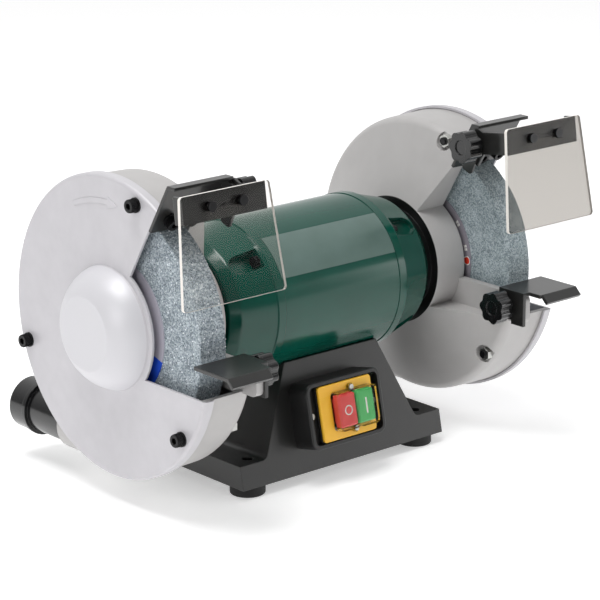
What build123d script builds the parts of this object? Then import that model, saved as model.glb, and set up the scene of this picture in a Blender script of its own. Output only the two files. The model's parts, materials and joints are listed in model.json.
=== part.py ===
"""Bench grinder: two 200 mm wheels on one motor shaft, on a sheet-steel pedestal base.

The frame: +X along the shaft, -Y is the operator's side, +Z up.
The origin is the centre of the four bench-bolt holes, on the bench surface.
Left pieces lie at -X and are mirror images of the right ones.
All sizes are in millimetres.
"""

import os
from math import atan2, cos, pi, radians, sin, sqrt, tan

from build123d import *

# ---------------------------------------------------------------- fits
CLEAR = 0.2                 # assembly clearance between fitted pieces
RUN = 0.1                   # running clearance of pins and slides

# ---------------------------------------------------------------- driving sizes
SHAFT_HEIGHT = 145.0        # shaft centre above the bench

# motor
DRUM_R = 65.4
DRUM_WALL = 3.9
DRUM_HALF = 61.8            # half length of the drum tube
BAND_WIDTH = 7.4            # rim of each end bell
BAND_PROUD = 0.5
BELL_LENGTH = 46.2          # from the drum's end to the end bell's face
BELL_TAPER = 15.4           # the end face is this much smaller in radius than the drum
BELL_WALL = 4.0
TIE_BOLT_INSET = 7.4        # bolt axis inside the drum's radius
TIE_BOLT_R = 2.5
TIE_BOLT_COUNT = 4
TIE_BOLT_HEAD = 4.0         # thickness of the heads and nuts
POCKET_HALF_WIDTH = 8.5
POCKET_WALL = 2.5
POCKET_END_GAP = 9.0        # from a pocket's nose to the end bell's face
CORE_END_GAP = 26.8         # from the stator's end to the drum's end
ROTOR_INSET = 27.9          # the rotor is this much smaller in radius than the drum
AIR_GAP = 0.5
WINDING_LENGTH = 17.0
FAN_GAP = 5.0               # from the winding's end to the fan
FAN_WIDTH = 14.0
FAN_PROUD = 6.5             # the fan is this much larger in radius than the rotor
FAN_BLADES = 9
NAME_PLATE_THICK = 0.3
NAME_PLATE_LOW = 25.5       # lower and upper edge, degrees above the front
NAME_PLATE_HIGH = 59.0
GUARD_SCREW_R = 3.0
GUARD_SCREW_REACH = 14.5    # screw axis outside the bearing
GUARD_SCREW_LENGTH = 14.0   # of the tapped hole behind the end bell's face

# shaft and bearings
SHAFT_R = 10.0
SHAFT_CORE_STEP = 1.0       # the shaft is thicker under the rotor
ARBOR_STEP = 2.0            # the threaded ends are this much smaller in radius
SHAFT_PROUD = 4.7           # thread beyond each arbor nut
BEARING_DEPTH = 13.5        # from the shaft to the outside of a bearing
BEARING_RING = 4.0
BEARING_WIDTH = 14.0
BEARING_SET_IN = 22.0       # inboard face of a bearing behind the end bell's face
BALL_COUNT = 8
FLANGE_THICK = 6.0
FLANGE_SHARE = 0.4          # wheel flange radius as a share of the wheel's
NUT_THICK = 10.0

# grinding wheels
WHEEL_R = 100.0
WHEEL_WIDTH = 25.0
WHEEL_BORE_R = 16.0
WHEEL_SET_OFF = 44.5        # from the end bell's face to the wheel's inner face
WHEEL_EDGE_ROUND = 0.8
LABEL_SHARE = 0.565         # label radius as a share of the wheel's
LABEL_THICK = 0.8

# wheel guards
WHEEL_RIM_GAP = 15.8        # from the wheel's rim to the casting's wall
GUARD_WALL = 4.0
GUARD_DRAFT = 1.5           # the casting is this much smaller at its motor side
NECK_LENGTH = 7.0
NECK_STEP = 4.0             # the neck is this much smaller in radius than the bell's end
DOME_STEP = 8.0             # and the dome starts this much outside the neck
DOME_SLOPE = 22.0 / 56.0    # rise along X for each millimetre of radius
DOME_ROUND = 9.0
GUARD_BORE_GAP = 4.0        # from the shaft to the guard's hole
LID_GAP = 10.5              # from the wheel's outer face to the lid's outer face
LID_SHEET = 2.0
LID_RIM_DEPTH = 9.0
LID_EDGE_ROUND = 3.0
BOSS_GAP = 11.5             # from the shaft's end to the inside of the hub boss
BOSS_EDGE = 4.8             # from the boss's foot to the opening's arc
BOSS_TAPER = 20.2
BOSS_EDGE_ROUND = 2.5
LID_SCREW_R = 3.0
LID_SCREW_INSET = 7.8       # screw axis inside the casting's radius
LID_SCREW_ANGLES = (109.4, 217.5, 342.2)    # degrees from +Y towards +Z
LID_NUT_INSET = 4.2         # floor of each nut's well behind the dome
LID_NUT_THICK = 5.0
PILLAR_WALL = 3.2
NUT_WELL_GAP = 5.0          # the well is this much larger in radius than the screw

# opening in front of each wheel
OPENING_ARC_GAP = 14.8      # from the wheel flange to the opening's arc
OPENING_DROP = 32.0         # floor of the opening below the shaft
CUT_LEAN = 30.5             # the upper cut leans forward from the vertical, degrees
CUT_ANGLE = 59.38           # reference point of the upper cut, degrees above the front
CUT_GAP = 2.5               # and its distance from the wheel's rim
OPENING_LINING = 4.0
LINING_GAP = 6.5            # from the lining's end to the wheel
BRIDGE_DEPTH = 10.0
BRIDGE_INSET = 15.8         # inside of the bridge from the casting's outside

# tool rests
REST_DROP = 6.5             # top of the rest below the shaft
REST_GAP = 4.0              # wheel to rest at the shaft's height
REST_DEPTH = 40.0
REST_SHEET = 3.0
REST_INSET = 8.0            # leg inside the lining's end
REST_EDGE = 0.5             # outer edge inside the lid's face
REST_LIP_LENGTH = 8.5
REST_LIP_ANGLE = 44.0
REST_LIP_START = 10.0       # the lip starts this far from the leg
REST_LEG_DEPTH = 28.5       # leg below the top face
REST_LEG_OVERLAP = 1.0      # the leg reaches behind the wheel's front by this
REST_LEG_REACH = 32.0       # and in front of it by this
REST_STUD_REACH = 12.0      # stud in front of the wheel
REST_STUD_DROP = 13.5       # stud below the rest's top
REST_TRAVEL_IN = 2.5
REST_TRAVEL_OUT = 5.0
EAR_THICK = 7.0
EAR_REACH = 30.0
EAR_GAP = 0.5

# spark deflectors
DEFLECTOR_SHEET = 2.5
DEFLECTOR_INSET = 15.0      # inner edge inside the lining's end
DEFLECTOR_RISE = 39.3       # top above the reference point of the cut
DEFLECTOR_LIP = 9.0         # forward lip at the top
DEFLECTOR_SCREW_R = 3.0
DEFLECTOR_SCREW_UP = 11.0   # screws above the plate's lower edge, along the plate
DEFLECTOR_SCREW_HALF = 9.0
DEFLECTOR_TRAVEL_IN = 1.5
DEFLECTOR_TRAVEL_OUT = 3.0
EAR_PLATE = 2.5

# eye shields
PIVOT_FORWARD = 29.8        # pivot in front of the reference point of the cut
PIVOT_UP = 23.4             # and above it
BRACKET_SHEET = 2.0
BRACKET_REACH = 37.6        # front strip in front of the pivot
BRACKET_RISE = 13.2         # top of the strip above the pivot
BRACKET_HEIGHT = 21.0
BRACKET_OVERHANG = 20.5     # outer end beyond the lid's face
BRACKET_RETURN = 8.0
BRACKET_GAP = 0.3           # from the arm to the deflector's ear
SHIELD_THICK = 3.0
SHIELD_SHIFT = 4.0          # centre of the sheet outside the wheel's centre
SHIELD_TOP_HALF = 42.8
SHIELD_BOTTOM_HALF = 49.9
SHIELD_HEIGHT = 84.6
SHIELD_PROUD = 0.5          # top of the sheet above the bracket
SHIELD_LEAN = 8.2           # degrees, foot forward
ARM_HALF = 6.0
ARM_ABOVE = 14.0
ARM_BELOW = 26.0
SHIELD_SCREW_HALF = 15.0
SHIELD_SCREW_R = 2.0

# knobs
KNOB_R = 13.5
KNOB_LOBES = 7
KNOB_THICK = 13.0
STUD_R = 3.0

# dust spigots
SPIGOT_R = 20.0
SPIGOT_WALL = 2.0
SPIGOT_BOSS_WALL = 2.4
SPIGOT_SIDE_GAP = 2.6       # from the boss to the lid's face
SPIGOT_INSET = 18.3         # axis inside the casting's radius
SPIGOT_BOSS_PROUD = 12.4    # boss beyond the casting's rim at the axis
SPIGOT_SOCKET = 14.0
SPIGOT_LENGTH = 66.0        # beyond the boss
SPIGOT_COLLAR = 18.0
SPIGOT_COLLAR_STEP = 2.0

# base
BASE_BOTTOM_Z = 9.0
BASE_HALF_X = 109.5
BASE_FLANGE_Z = 28.5
TOWER_FOOT_HALF = 82.0
TOWER_TOP_HALF = 50.0
SADDLE_SHARE = 0.7034       # top of the tower below the shaft, as a share of the drum's radius
SADDLE_GAP = 0.2
BASE_HALF_Y = 68.4          # at the bottom edge
BASE_SLOPE = 0.2155         # lean of the front and back, Y for each millimetre of Z
BASE_SHEET = 3.0
BASE_NOTCH_ROUND = 6.0
BASE_PLATE_THICK = 2.0
BENCH_HOLE_R = 4.5
BENCH_HOLE_X = 92.0
BENCH_HOLE_Y = 52.5
FOOT_R = 14.5
MOUNT_X = 38.0              # screws that hold the drum in the saddle
MOUNT_Y = 16.0
MOUNT_DEPTH = 9.6           # seat of their heads below the drum
MOUNT_R = 3.0
MOUNT_BOSS_R = 7.0
PLATE_SCREW_X = 98.0
PLATE_SCREW_Y = 24.0
PLATE_SCREW_R = 2.0
PLATE_POST_R = 5.0
GLAND_X = 55.0
GLAND_RISE = 36.0           # gland above the base's bottom edge
GLAND_R = 8.0
CABLE_R = 3.7
CAPACITOR_R = 17.0
CAPACITOR_LENGTH = 70.0
CAPACITOR_X = -20.0
CAPACITOR_Y = 28.0

# switch
SWITCH_X = -10.0
SWITCH_RISE = 26.2          # box centre above the base's flange
SWITCH_WIDTH = 80.0
SWITCH_TALL = 54.5
SWITCH_DEPTH = 22.0
SWITCH_ROUND = 8.0
SWITCH_RIM = 3.5
SWITCH_RECESS = 9.0
SWITCH_LEDGE = 2.5
PANEL_THICK = 3.0
PANEL_SCREW_INSET = 7.0
YELLOW_WIDTH = 57.0
YELLOW_TALL = 46.0
YELLOW_THICK = 3.0
YELLOW_SHIFT = 1.0
WINDOW_SHIFT = 4.5          # the buttons sit this far to the right of the plate's centre
WINDOW_WIDTH = 41.0
WINDOW_TALL = 30.0
SWITCH_BLOCK_DEPTH = 28.0   # switch block behind the inner panel's face
BUTTON_PROUD = 7.0
BUTTON_TRAVEL = 3.0
BUTTON_GAP = 1.2
BUTTON_SIDE_GAP = 1.6
COVER_PROUD = 8.5
COVER_WALL = 1.2
COVER_SCREW_GAP = 2.0       # screw beyond the window's edge

# ---------------------------------------------------------------- sizes that follow from them
BELL_END_X = DRUM_HALF + BELL_LENGTH
BELL_END_R = DRUM_R - BELL_TAPER
BAND_END_X = DRUM_HALF + BAND_WIDTH
TIE_BOLT_CIRCLE_R = DRUM_R - TIE_BOLT_INSET
TIE_BOLT_SEAT_X = BAND_END_X + 2.8
POCKET_END_X = BELL_END_X - POCKET_END_GAP
CORE_HALF = DRUM_HALF - CORE_END_GAP
ROTOR_R = DRUM_R - ROTOR_INSET
FAN_R = ROTOR_R + FAN_PROUD
ARBOR_R = SHAFT_R - ARBOR_STEP
BEARING_R = SHAFT_R + BEARING_DEPTH
BEARING_X = BELL_END_X - BEARING_SET_IN
FLANGE_R = FLANGE_SHARE * WHEEL_R
LABEL_R = LABEL_SHARE * WHEEL_R
NUT_FLATS = 3 * ARBOR_R

WHEEL_CENTRE_X = BELL_END_X + WHEEL_SET_OFF + WHEEL_WIDTH / 2
WHEEL_OUTER_X = WHEEL_CENTRE_X + WHEEL_WIDTH / 2
WHEEL_INNER_X = WHEEL_CENTRE_X - WHEEL_WIDTH / 2
SHAFT_END_X = WHEEL_OUTER_X + LABEL_THICK + FLANGE_THICK + NUT_THICK + SHAFT_PROUD

GUARD_R = WHEEL_R + WHEEL_RIM_GAP + GUARD_WALL
GUARD_NECK_R = BELL_END_R - NECK_STEP
GUARD_SCREW_CIRCLE_R = BEARING_R + GUARD_SCREW_REACH
GUARD_SCREW_TIP_X = BELL_END_X - GUARD_SCREW_LENGTH
DOME_START_X = BELL_END_X + NECK_LENGTH
DOME_START_R = GUARD_NECK_R + DOME_STEP
GUARD_BORE_R = SHAFT_R + GUARD_BORE_GAP
LID_FACE_X = WHEEL_OUTER_X + LID_GAP
LID_R = GUARD_R + CLEAR + LID_SHEET
CASTING_END_X = LID_FACE_X - LID_SHEET
OPENING_ARC_R = FLANGE_R + OPENING_ARC_GAP
BOSS_FACE_X = SHAFT_END_X + BOSS_GAP + LID_SHEET
BOSS_FOOT_R = OPENING_ARC_R - BOSS_EDGE
BOSS_FACE_R = BOSS_FOOT_R - BOSS_TAPER
LID_SCREW_CIRCLE_R = GUARD_R - LID_SCREW_INSET
LID_NUT_FLOOR_X = DOME_START_X + (LID_SCREW_CIRCLE_R - DOME_START_R) * DOME_SLOPE + LID_NUT_INSET
LID_PILLAR_R = LID_SCREW_R + PILLAR_WALL
NUT_WELL_R = LID_SCREW_R + NUT_WELL_GAP

OPENING_FLOOR_Z = SHAFT_HEIGHT - OPENING_DROP
CUT_POINT = (
    -(WHEEL_R + CUT_GAP) * cos(radians(CUT_ANGLE)),
    SHAFT_HEIGHT + (WHEEL_R + CUT_GAP) * sin(radians(CUT_ANGLE)),
)
LINING_END_X = WHEEL_INNER_X - LINING_GAP
BRIDGE_INNER_R = GUARD_R - BRIDGE_INSET

REST_TOP_Z = SHAFT_HEIGHT - REST_DROP
REST_INNER_X = LINING_END_X - REST_INSET
REST_OUTER_X = LID_FACE_X - REST_EDGE
REST_LEG_BACK_Y = -WHEEL_R + REST_LEG_OVERLAP
REST_LEG_FRONT_Y = -WHEEL_R - REST_LEG_REACH
REST_LEG_STEP_Y = -sqrt(GUARD_R**2 - OPENING_DROP**2) - REST_TRAVEL_IN - 0.5
REST_STUD_Y = -WHEEL_R - REST_STUD_REACH
REST_STUD_Z = REST_TOP_Z - REST_STUD_DROP
EAR_TOP_Z = REST_TOP_Z - REST_SHEET - EAR_GAP
EAR_FRONT_Y = -WHEEL_R - EAR_REACH

DEFLECTOR_INNER_X = LINING_END_X - DEFLECTOR_INSET
DEFLECTOR_OUTER_X = LID_FACE_X
DEFLECTOR_TOP_Z = CUT_POINT[1] + DEFLECTOR_RISE
PIVOT_Y = CUT_POINT[0] - PIVOT_FORWARD
PIVOT_Z = CUT_POINT[1] + PIVOT_UP
BRACKET_FRONT_Y = PIVOT_Y - BRACKET_REACH
BRACKET_TOP_Z = PIVOT_Z + BRACKET_RISE
BRACKET_OUTER_X = LID_FACE_X + BRACKET_OVERHANG
BRACKET_ARM_X = DEFLECTOR_INNER_X - BRACKET_GAP - BRACKET_SHEET
SHIELD_CENTRE_X = WHEEL_CENTRE_X + SHIELD_SHIFT

SPIGOT_BOSS_R = SPIGOT_R + SPIGOT_BOSS_WALL
SPIGOT_COLLAR_R = SPIGOT_R + SPIGOT_COLLAR_STEP
SPIGOT_X = LID_FACE_X - SPIGOT_SIDE_GAP - SPIGOT_BOSS_R
SPIGOT_Z = SHAFT_HEIGHT - GUARD_R + SPIGOT_INSET
SPIGOT_BOSS_Y = sqrt(GUARD_R**2 - (GUARD_R - SPIGOT_INSET) ** 2) + SPIGOT_BOSS_PROUD
SPIGOT_END_Y = SPIGOT_BOSS_Y + SPIGOT_LENGTH

TOWER_TOP_Z = SHAFT_HEIGHT - SADDLE_SHARE * DRUM_R
MOUNT_SEAT_Z = SHAFT_HEIGHT - DRUM_R - MOUNT_DEPTH
GLAND_Z = BASE_BOTTOM_Z + GLAND_RISE
SWITCH_Z = BASE_FLANGE_Z + SWITCH_RISE
PANEL_SCREW_X = SWITCH_WIDTH / 2 - PANEL_SCREW_INSET
COVER_SCREW_UP = WINDOW_TALL / 2 + COVER_SCREW_GAP

TILT = radians(CUT_LEAN)
ALONG = (-sin(TILT), cos(TILT))     # up the cut, Y and Z
OUT = (-cos(TILT), -sin(TILT))      # out of the guard, square to the cut


# ---------------------------------------------------------------- helpers
def block(x0, x1, y0, y1, z0, z1):
    """A box between two corners."""
    centre = Pos((x0 + x1) / 2, (y0 + y1) / 2, (z0 + z1) / 2)
    return centre * Box(abs(x1 - x0), abs(y1 - y0), abs(z1 - z0))


def rod(start, end, radius):
    """A cylinder from one point to another."""
    a, b = Vector(*start), Vector(*end)
    base = Plane(origin=a, z_dir=(b - a).normalized())
    return extrude(base * Circle(radius), (b - a).length)


def hexagon(start, end, flats):
    """A hexagonal bar from one point to another, by its width across flats."""
    a, b = Vector(*start), Vector(*end)
    base = Plane(origin=a, z_dir=(b - a).normalized())
    return extrude(base * RegularPolygon(flats / 2, 6, major_radius=False), (b - a).length)


def spin(*points):
    """A ring about the shaft from a closed outline of X and radius."""
    outline = make_face(Polyline(*points, close=True))
    return Pos(0, 0, SHAFT_HEIGHT) * revolve(outline, Axis.X)


def spin_face(face):
    """A ring about the shaft from a drawn outline of X and radius."""
    return Pos(0, 0, SHAFT_HEIGHT) * revolve(face, Axis.X)


def round_at(face, radius, *points):
    """The face with the corners nearest the given points rounded."""
    corners = [min(face.vertices(), key=lambda v: (Vector(*v) - Vector(*p, 0)).length) for p in points]
    return fillet(corners, radius)


def prism_x(outline, x0, x1):
    """An outline in Y and Z carried along X."""
    return extrude(Plane.YZ.offset(x0) * outline, x1 - x0)


def around_shaft(radius, angle):
    """The Y and Z of a point about the shaft, angle in degrees from +Y towards +Z."""
    return radius * cos(radians(angle)), SHAFT_HEIGHT + radius * sin(radians(angle))


def left_of(solid):
    """The mirror image for the left side."""
    return mirror(solid, about=Plane.YZ)


def both(solid):
    """A right-hand piece and its left-hand mirror image."""
    return [solid, left_of(solid)]


def on_cut(up, out):
    """The Y and Z of a point given along the upper cut and out from it."""
    return (
        CUT_POINT[0] + up * ALONG[0] + out * OUT[0],
        CUT_POINT[1] + up * ALONG[1] + out * OUT[1],
    )


def cut_slab(up0, up1, out0, out1):
    """A four-sided outline in Y and Z, square to the upper cut."""
    corners = [on_cut(up0, out0), on_cut(up1, out0), on_cut(up1, out1), on_cut(up0, out1)]
    return make_face(Polyline(*corners, close=True))


def opening_outline(grow):
    """The wheel's work opening in Y and Z, its edges moved outwards by grow."""
    far = -170.0
    radius = OPENING_ARC_R - grow
    foot, height = on_cut(0, -grow), SHAFT_HEIGHT
    rel = (foot[0], foot[1] - height)
    along = rel[0] * ALONG[0] + rel[1] * ALONG[1]
    inner = -along + sqrt(along**2 - (rel[0] ** 2 + rel[1] ** 2 - radius**2))
    top = (foot[0] + inner * ALONG[0], foot[1] + inner * ALONG[1])
    rise = OPENING_FLOOR_Z - grow
    low = (-sqrt(radius**2 - (rise - height) ** 2), rise)
    high = (foot[0] + 120 * ALONG[0], foot[1] + 120 * ALONG[1])
    edges = Polyline(low, (far, rise), (far, high[1]), high, top) + ThreePointArc(
        top, (-radius, height), low
    )
    return make_face(edges)


# ---------------------------------------------------------------- base
def tower_outline(shrink):
    """The base seen from the front: a low flange with a tapering tower on it."""
    lean = (TOWER_FOOT_HALF - TOWER_TOP_HALF) / (TOWER_TOP_Z - BASE_FLANGE_Z)
    side = shrink * sqrt(1 + lean**2)
    top = TOWER_TOP_Z - shrink
    flange = BASE_FLANGE_Z - shrink
    foot = TOWER_FOOT_HALF - side + lean * shrink
    head = TOWER_TOP_HALF - side + lean * shrink
    out = BASE_HALF_X - shrink
    low = BASE_BOTTOM_Z - (1.0 if shrink else 0.0)
    right = [(out, low), (out, flange), (foot, flange), (head, top)]
    left = [(-x, z) for x, z in reversed(right)]
    face = make_face(Polyline(*right, *left, close=True))
    notch = BASE_NOTCH_ROUND + shrink
    return round_at(face, notch, (foot, flange), (-foot, flange))


def base_depth(z):
    """Half depth of the base's outside at a height."""
    return BASE_HALF_Y - BASE_SLOPE * (z - BASE_BOTTOM_Z)


def base_block(shrink):
    """The base as a solid block, its faces moved inwards by shrink."""
    low = BASE_BOTTOM_Z - (1.0 if shrink else 0.0)
    inwards = shrink * sqrt(1 + BASE_SLOPE**2)
    foot, head = base_depth(low) - inwards, base_depth(TOWER_TOP_Z) - inwards
    side = make_face(
        Polyline((foot, low), (head, TOWER_TOP_Z), (-head, TOWER_TOP_Z), (-foot, low), close=True)
    )
    front = extrude(Plane.XZ * tower_outline(shrink), BASE_HALF_Y + 5, both=True)
    solid = front & prism_x(side, -BASE_HALF_X - 5, BASE_HALF_X + 5)
    saddle = DRUM_R + SADDLE_GAP + shrink
    solid -= rod((-BASE_HALF_X, 0, SHAFT_HEIGHT), (BASE_HALF_X, 0, SHAFT_HEIGHT), saddle)
    start, end = (DRUM_HALF - 1, 0, SHAFT_HEIGHT), (BASE_HALF_X + 1, 0, SHAFT_HEIGHT)
    for step in both(rod(start, end, saddle + BAND_PROUD + CLEAR)):
        solid -= step
    return solid


def four_corners(x, y):
    """Four points of a centred rectangle."""
    return [(i * x, j * y) for i in (-1, 1) for j in (-1, 1)]


def base():
    """The sheet-steel pedestal, open below, with a saddle for the drum."""
    solid = base_block(0) - base_block(BASE_SHEET)
    for x, y in four_corners(MOUNT_X, MOUNT_Y):
        boss = rod((x, y, MOUNT_SEAT_Z), (x, y, SHAFT_HEIGHT - DRUM_R + 6), MOUNT_BOSS_R)
        solid += boss & base_block(0)
        solid -= rod((x, y, MOUNT_SEAT_Z - 1), (x, y, SHAFT_HEIGHT), MOUNT_R)
    for x, y in four_corners(BENCH_HOLE_X, BENCH_HOLE_Y):
        solid -= rod((x, y, BASE_BOTTOM_Z), (x, y, BASE_FLANGE_Z + 1), BENCH_HOLE_R)
    for x, y in four_corners(PLATE_SCREW_X, PLATE_SCREW_Y):
        solid += rod((x, y, BASE_BOTTOM_Z + BASE_PLATE_THICK), (x, y, BASE_FLANGE_Z - 1), PLATE_POST_R)
        solid -= rod((x, y, BASE_BOTTOM_Z), (x, y, BASE_BOTTOM_Z + 12), PLATE_SCREW_R)
    window = Box(SWITCH_WIDTH - 2 * SWITCH_RIM - 10, SWITCH_TALL - 2 * SWITCH_RIM - 8, 20)
    solid -= switch_plane() * window
    return solid - rod((GLAND_X, 0, GLAND_Z), (GLAND_X, BASE_HALF_Y, GLAND_Z), GLAND_R)


def base_plate():
    """The flat bottom cover, inside the base's skirt."""
    half_x = BASE_HALF_X - BASE_SHEET - CLEAR
    half_y = base_depth(BASE_BOTTOM_Z + BASE_PLATE_THICK) - BASE_SHEET * 1.03 - CLEAR
    top = BASE_BOTTOM_Z + BASE_PLATE_THICK
    sheet = block(-half_x, half_x, -half_y, half_y, BASE_BOTTOM_Z, top)
    for x, y in four_corners(BENCH_HOLE_X, BENCH_HOLE_Y):
        sheet -= rod((x, y, 0), (x, y, top + 1), BENCH_HOLE_R)
    for x, y in four_corners(PLATE_SCREW_X, PLATE_SCREW_Y):
        sheet -= rod((x, y, 0), (x, y, top + 1), PLATE_SCREW_R)
    return sheet


def base_plate_screws():
    """Four pan-head screws up through the bottom cover."""
    screws = []
    for x, y in four_corners(PLATE_SCREW_X, PLATE_SCREW_Y):
        head = rod((x, y, BASE_BOTTOM_Z - 2), (x, y, BASE_BOTTOM_Z), 2 * PLATE_SCREW_R)
        shank = rod((x, y, BASE_BOTTOM_Z), (x, y, BASE_BOTTOM_Z + 11), PLATE_SCREW_R)
        screws.append(head + shank)
    return screws


def feet():
    """Four rubber feet, each with the hole of its bench bolt."""
    pads = []
    for x, y in four_corners(BENCH_HOLE_X, BENCH_HOLE_Y):
        pad = rod((x, y, 0), (x, y, BASE_BOTTOM_Z), FOOT_R)
        rims = pad.edges().filter_by(GeomType.CIRCLE).group_by(Axis.Z)[0]
        pad = fillet(rims, 1.5)
        pads.append(pad - rod((x, y, -1), (x, y, BASE_BOTTOM_Z + 1), BENCH_HOLE_R))
    return pads


def motor_screws():
    """Four hexagon screws up through the saddle into the drum."""
    screws = []
    for x, y in four_corners(MOUNT_X, MOUNT_Y):
        head = hexagon((x, y, MOUNT_SEAT_Z - 4), (x, y, MOUNT_SEAT_Z), 2 * MOUNT_R + 4)
        screws.append(head + rod((x, y, MOUNT_SEAT_Z), (x, y, SHAFT_HEIGHT - DRUM_R + 7), MOUNT_R))
    return screws


def cable_gland():
    """The cable inlet in the back of the base, with its nut inside."""
    wall = base_depth(GLAND_Z)
    lean = BASE_SLOPE * 12
    body = rod((GLAND_X, wall + 1, GLAND_Z), (GLAND_X, wall + 14, GLAND_Z), GLAND_R + 3)
    body += rod((GLAND_X, wall + 14, GLAND_Z), (GLAND_X, wall + 20, GLAND_Z), GLAND_R)
    body += rod((GLAND_X, wall - 14, GLAND_Z), (GLAND_X, wall + 1, GLAND_Z), GLAND_R)
    body += rod((GLAND_X, wall - 14, GLAND_Z), (GLAND_X, wall - lean - BASE_SHEET - 4, GLAND_Z), GLAND_R + 3)
    body -= base_skin_near(GLAND_Z)
    return body - rod((GLAND_X, wall - 20, GLAND_Z), (GLAND_X, wall + 22, GLAND_Z), CABLE_R)


def base_skin_near(z):
    """The slab of the base's back wall, to trim pieces that seat on it."""
    low, high = z - 25, z + 25
    inside = BASE_SHEET * sqrt(1 + BASE_SLOPE**2)
    outline = make_face(
        Polyline(
            (base_depth(low) - inside, low),
            (base_depth(low), low),
            (base_depth(high), high),
            (base_depth(high) - inside, high),
            close=True,
        )
    )
    slab = prism_x(outline, GLAND_X - 30, GLAND_X + 30)
    return slab - rod((GLAND_X, 0, z), (GLAND_X, BASE_HALF_Y, z), GLAND_R)


def capacitor():
    """The motor's run capacitor, lying on the bottom cover."""
    height = BASE_BOTTOM_Z + BASE_PLATE_THICK + CAPACITOR_R
    start, end = CAPACITOR_X - CAPACITOR_LENGTH / 2, CAPACITOR_X + CAPACITOR_LENGTH / 2
    can = rod((start, CAPACITOR_Y, height), (end, CAPACITOR_Y, height), CAPACITOR_R)
    for y in (CAPACITOR_Y - 4, CAPACITOR_Y + 4):
        can += rod((end, y, height), (end + 5, y, height), 2)
    return can


# ---------------------------------------------------------------- switch
def switch_plane(out=0.0, across=0.0, up=0.0):
    """The frame of the switch box: X across, Y up the front plate, Z out of it."""
    lean = atan2(BASE_SLOPE, 1.0)
    normal = Vector(0, -cos(lean), sin(lean))
    foot = Vector(SWITCH_X, -base_depth(SWITCH_Z), SWITCH_Z)
    rise = Vector(0, sin(lean), cos(lean))
    origin = foot + normal * out + Vector(across, 0, 0) + rise * up
    return Plane(origin=origin, x_dir=(1, 0, 0), z_dir=normal)


def slab(width, tall, corner, out0, out1, across=0.0, up=0.0):
    """A plate parallel to the base's front, with rounded corners."""
    outline = RectangleRounded(width, tall, corner)
    return extrude(switch_plane(out0, across, up) * outline, out1 - out0)


def switch_box():
    """The black moulded box that stands out of the front plate."""
    box = slab(SWITCH_WIDTH, SWITCH_TALL, SWITCH_ROUND, 0, SWITCH_DEPTH)
    box = fillet(front_face(box).edges(), 1.2)
    inner_w, inner_t = SWITCH_WIDTH - 2 * SWITCH_RIM, SWITCH_TALL - 2 * SWITCH_RIM
    box -= slab(inner_w, inner_t, SWITCH_ROUND - SWITCH_RIM, SWITCH_DEPTH - SWITCH_RECESS, SWITCH_DEPTH + 1)
    step = 2 * SWITCH_LEDGE
    return box - slab(inner_w - step, inner_t - step, 3, -1, SWITCH_DEPTH)


def front_face(solid):
    """The face of a solid that lies furthest towards the operator."""
    return solid.faces().sort_by(lambda face: face.center().Y)[0]


def panel_front():
    """How far the inner panel's face stands out of the front plate."""
    return SWITCH_DEPTH - SWITCH_RECESS + PANEL_THICK


def switch_panel():
    """The black inner panel, on the ledge inside the box's rim."""
    width = SWITCH_WIDTH - 2 * SWITCH_RIM - CLEAR
    tall = SWITCH_TALL - 2 * SWITCH_RIM - CLEAR
    corner = SWITCH_ROUND - SWITCH_RIM - CLEAR
    panel = slab(width, tall, corner, panel_front() - PANEL_THICK, panel_front())
    panel -= window(2.0, -2, SWITCH_DEPTH)
    for across in (-PANEL_SCREW_X, PANEL_SCREW_X):
        panel -= round_bar(1.5, 0, SWITCH_DEPTH, across, 0)
    return panel


def window(shrink, out0, out1):
    """The space behind the buttons, its edges moved inwards by shrink."""
    return slab(
        WINDOW_WIDTH - 2 * shrink, WINDOW_TALL - 2 * shrink, 2, out0, out1, WINDOW_SHIFT + YELLOW_SHIFT
    )


def round_bar(radius, out0, out1, across, up):
    """A cylinder square to the base's front."""
    return extrude(switch_plane(out0, across, up) * Circle(radius), out1 - out0)


def yellow_back():
    """Where the yellow plate's back face lies."""
    return SWITCH_DEPTH - YELLOW_THICK


def switch_body():
    """The switch block: a flange on the panel and the block behind it."""
    flange = slab(YELLOW_WIDTH + 1.5, YELLOW_TALL + 1.0, 3, panel_front(), yellow_back(), YELLOW_SHIFT)
    block_out = panel_front() - SWITCH_BLOCK_DEPTH
    body = flange + window(2.0 + CLEAR, block_out, panel_front())
    well = button_slot(0, RUN) + button_slot(1, RUN)
    return body - well


def switch_plate():
    """The yellow plate round the buttons."""
    plate = slab(YELLOW_WIDTH, YELLOW_TALL, 3, yellow_back(), SWITCH_DEPTH, YELLOW_SHIFT)
    plate = fillet(front_face(plate).edges(), 1.0)
    plate -= window(0, yellow_back() - 1, SWITCH_DEPTH + 1)
    for up in (-COVER_SCREW_UP, COVER_SCREW_UP):
        plate -= round_bar(1.0, 0, SWITCH_DEPTH + 1, WINDOW_SHIFT + YELLOW_SHIFT, up)
    return plate


def button_slot(index, grow):
    """The shape of one button's stem, from the block's pocket to its face."""
    width = (WINDOW_WIDTH - 2 * BUTTON_SIDE_GAP - BUTTON_GAP) / 2
    centre = WINDOW_SHIFT + YELLOW_SHIFT + (index - 0.5) * (width + BUTTON_GAP)
    tall = WINDOW_TALL - 2 * BUTTON_SIDE_GAP
    deep = panel_front() - BUTTON_TRAVEL - 4
    if grow:
        deep -= BUTTON_TRAVEL + 1
    shape = RectangleRounded(width - 4 + 2 * grow, tall - 6 + 2 * grow, 1.5)
    return extrude(switch_plane(deep, centre) * shape, yellow_back() + 1 - deep)


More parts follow.
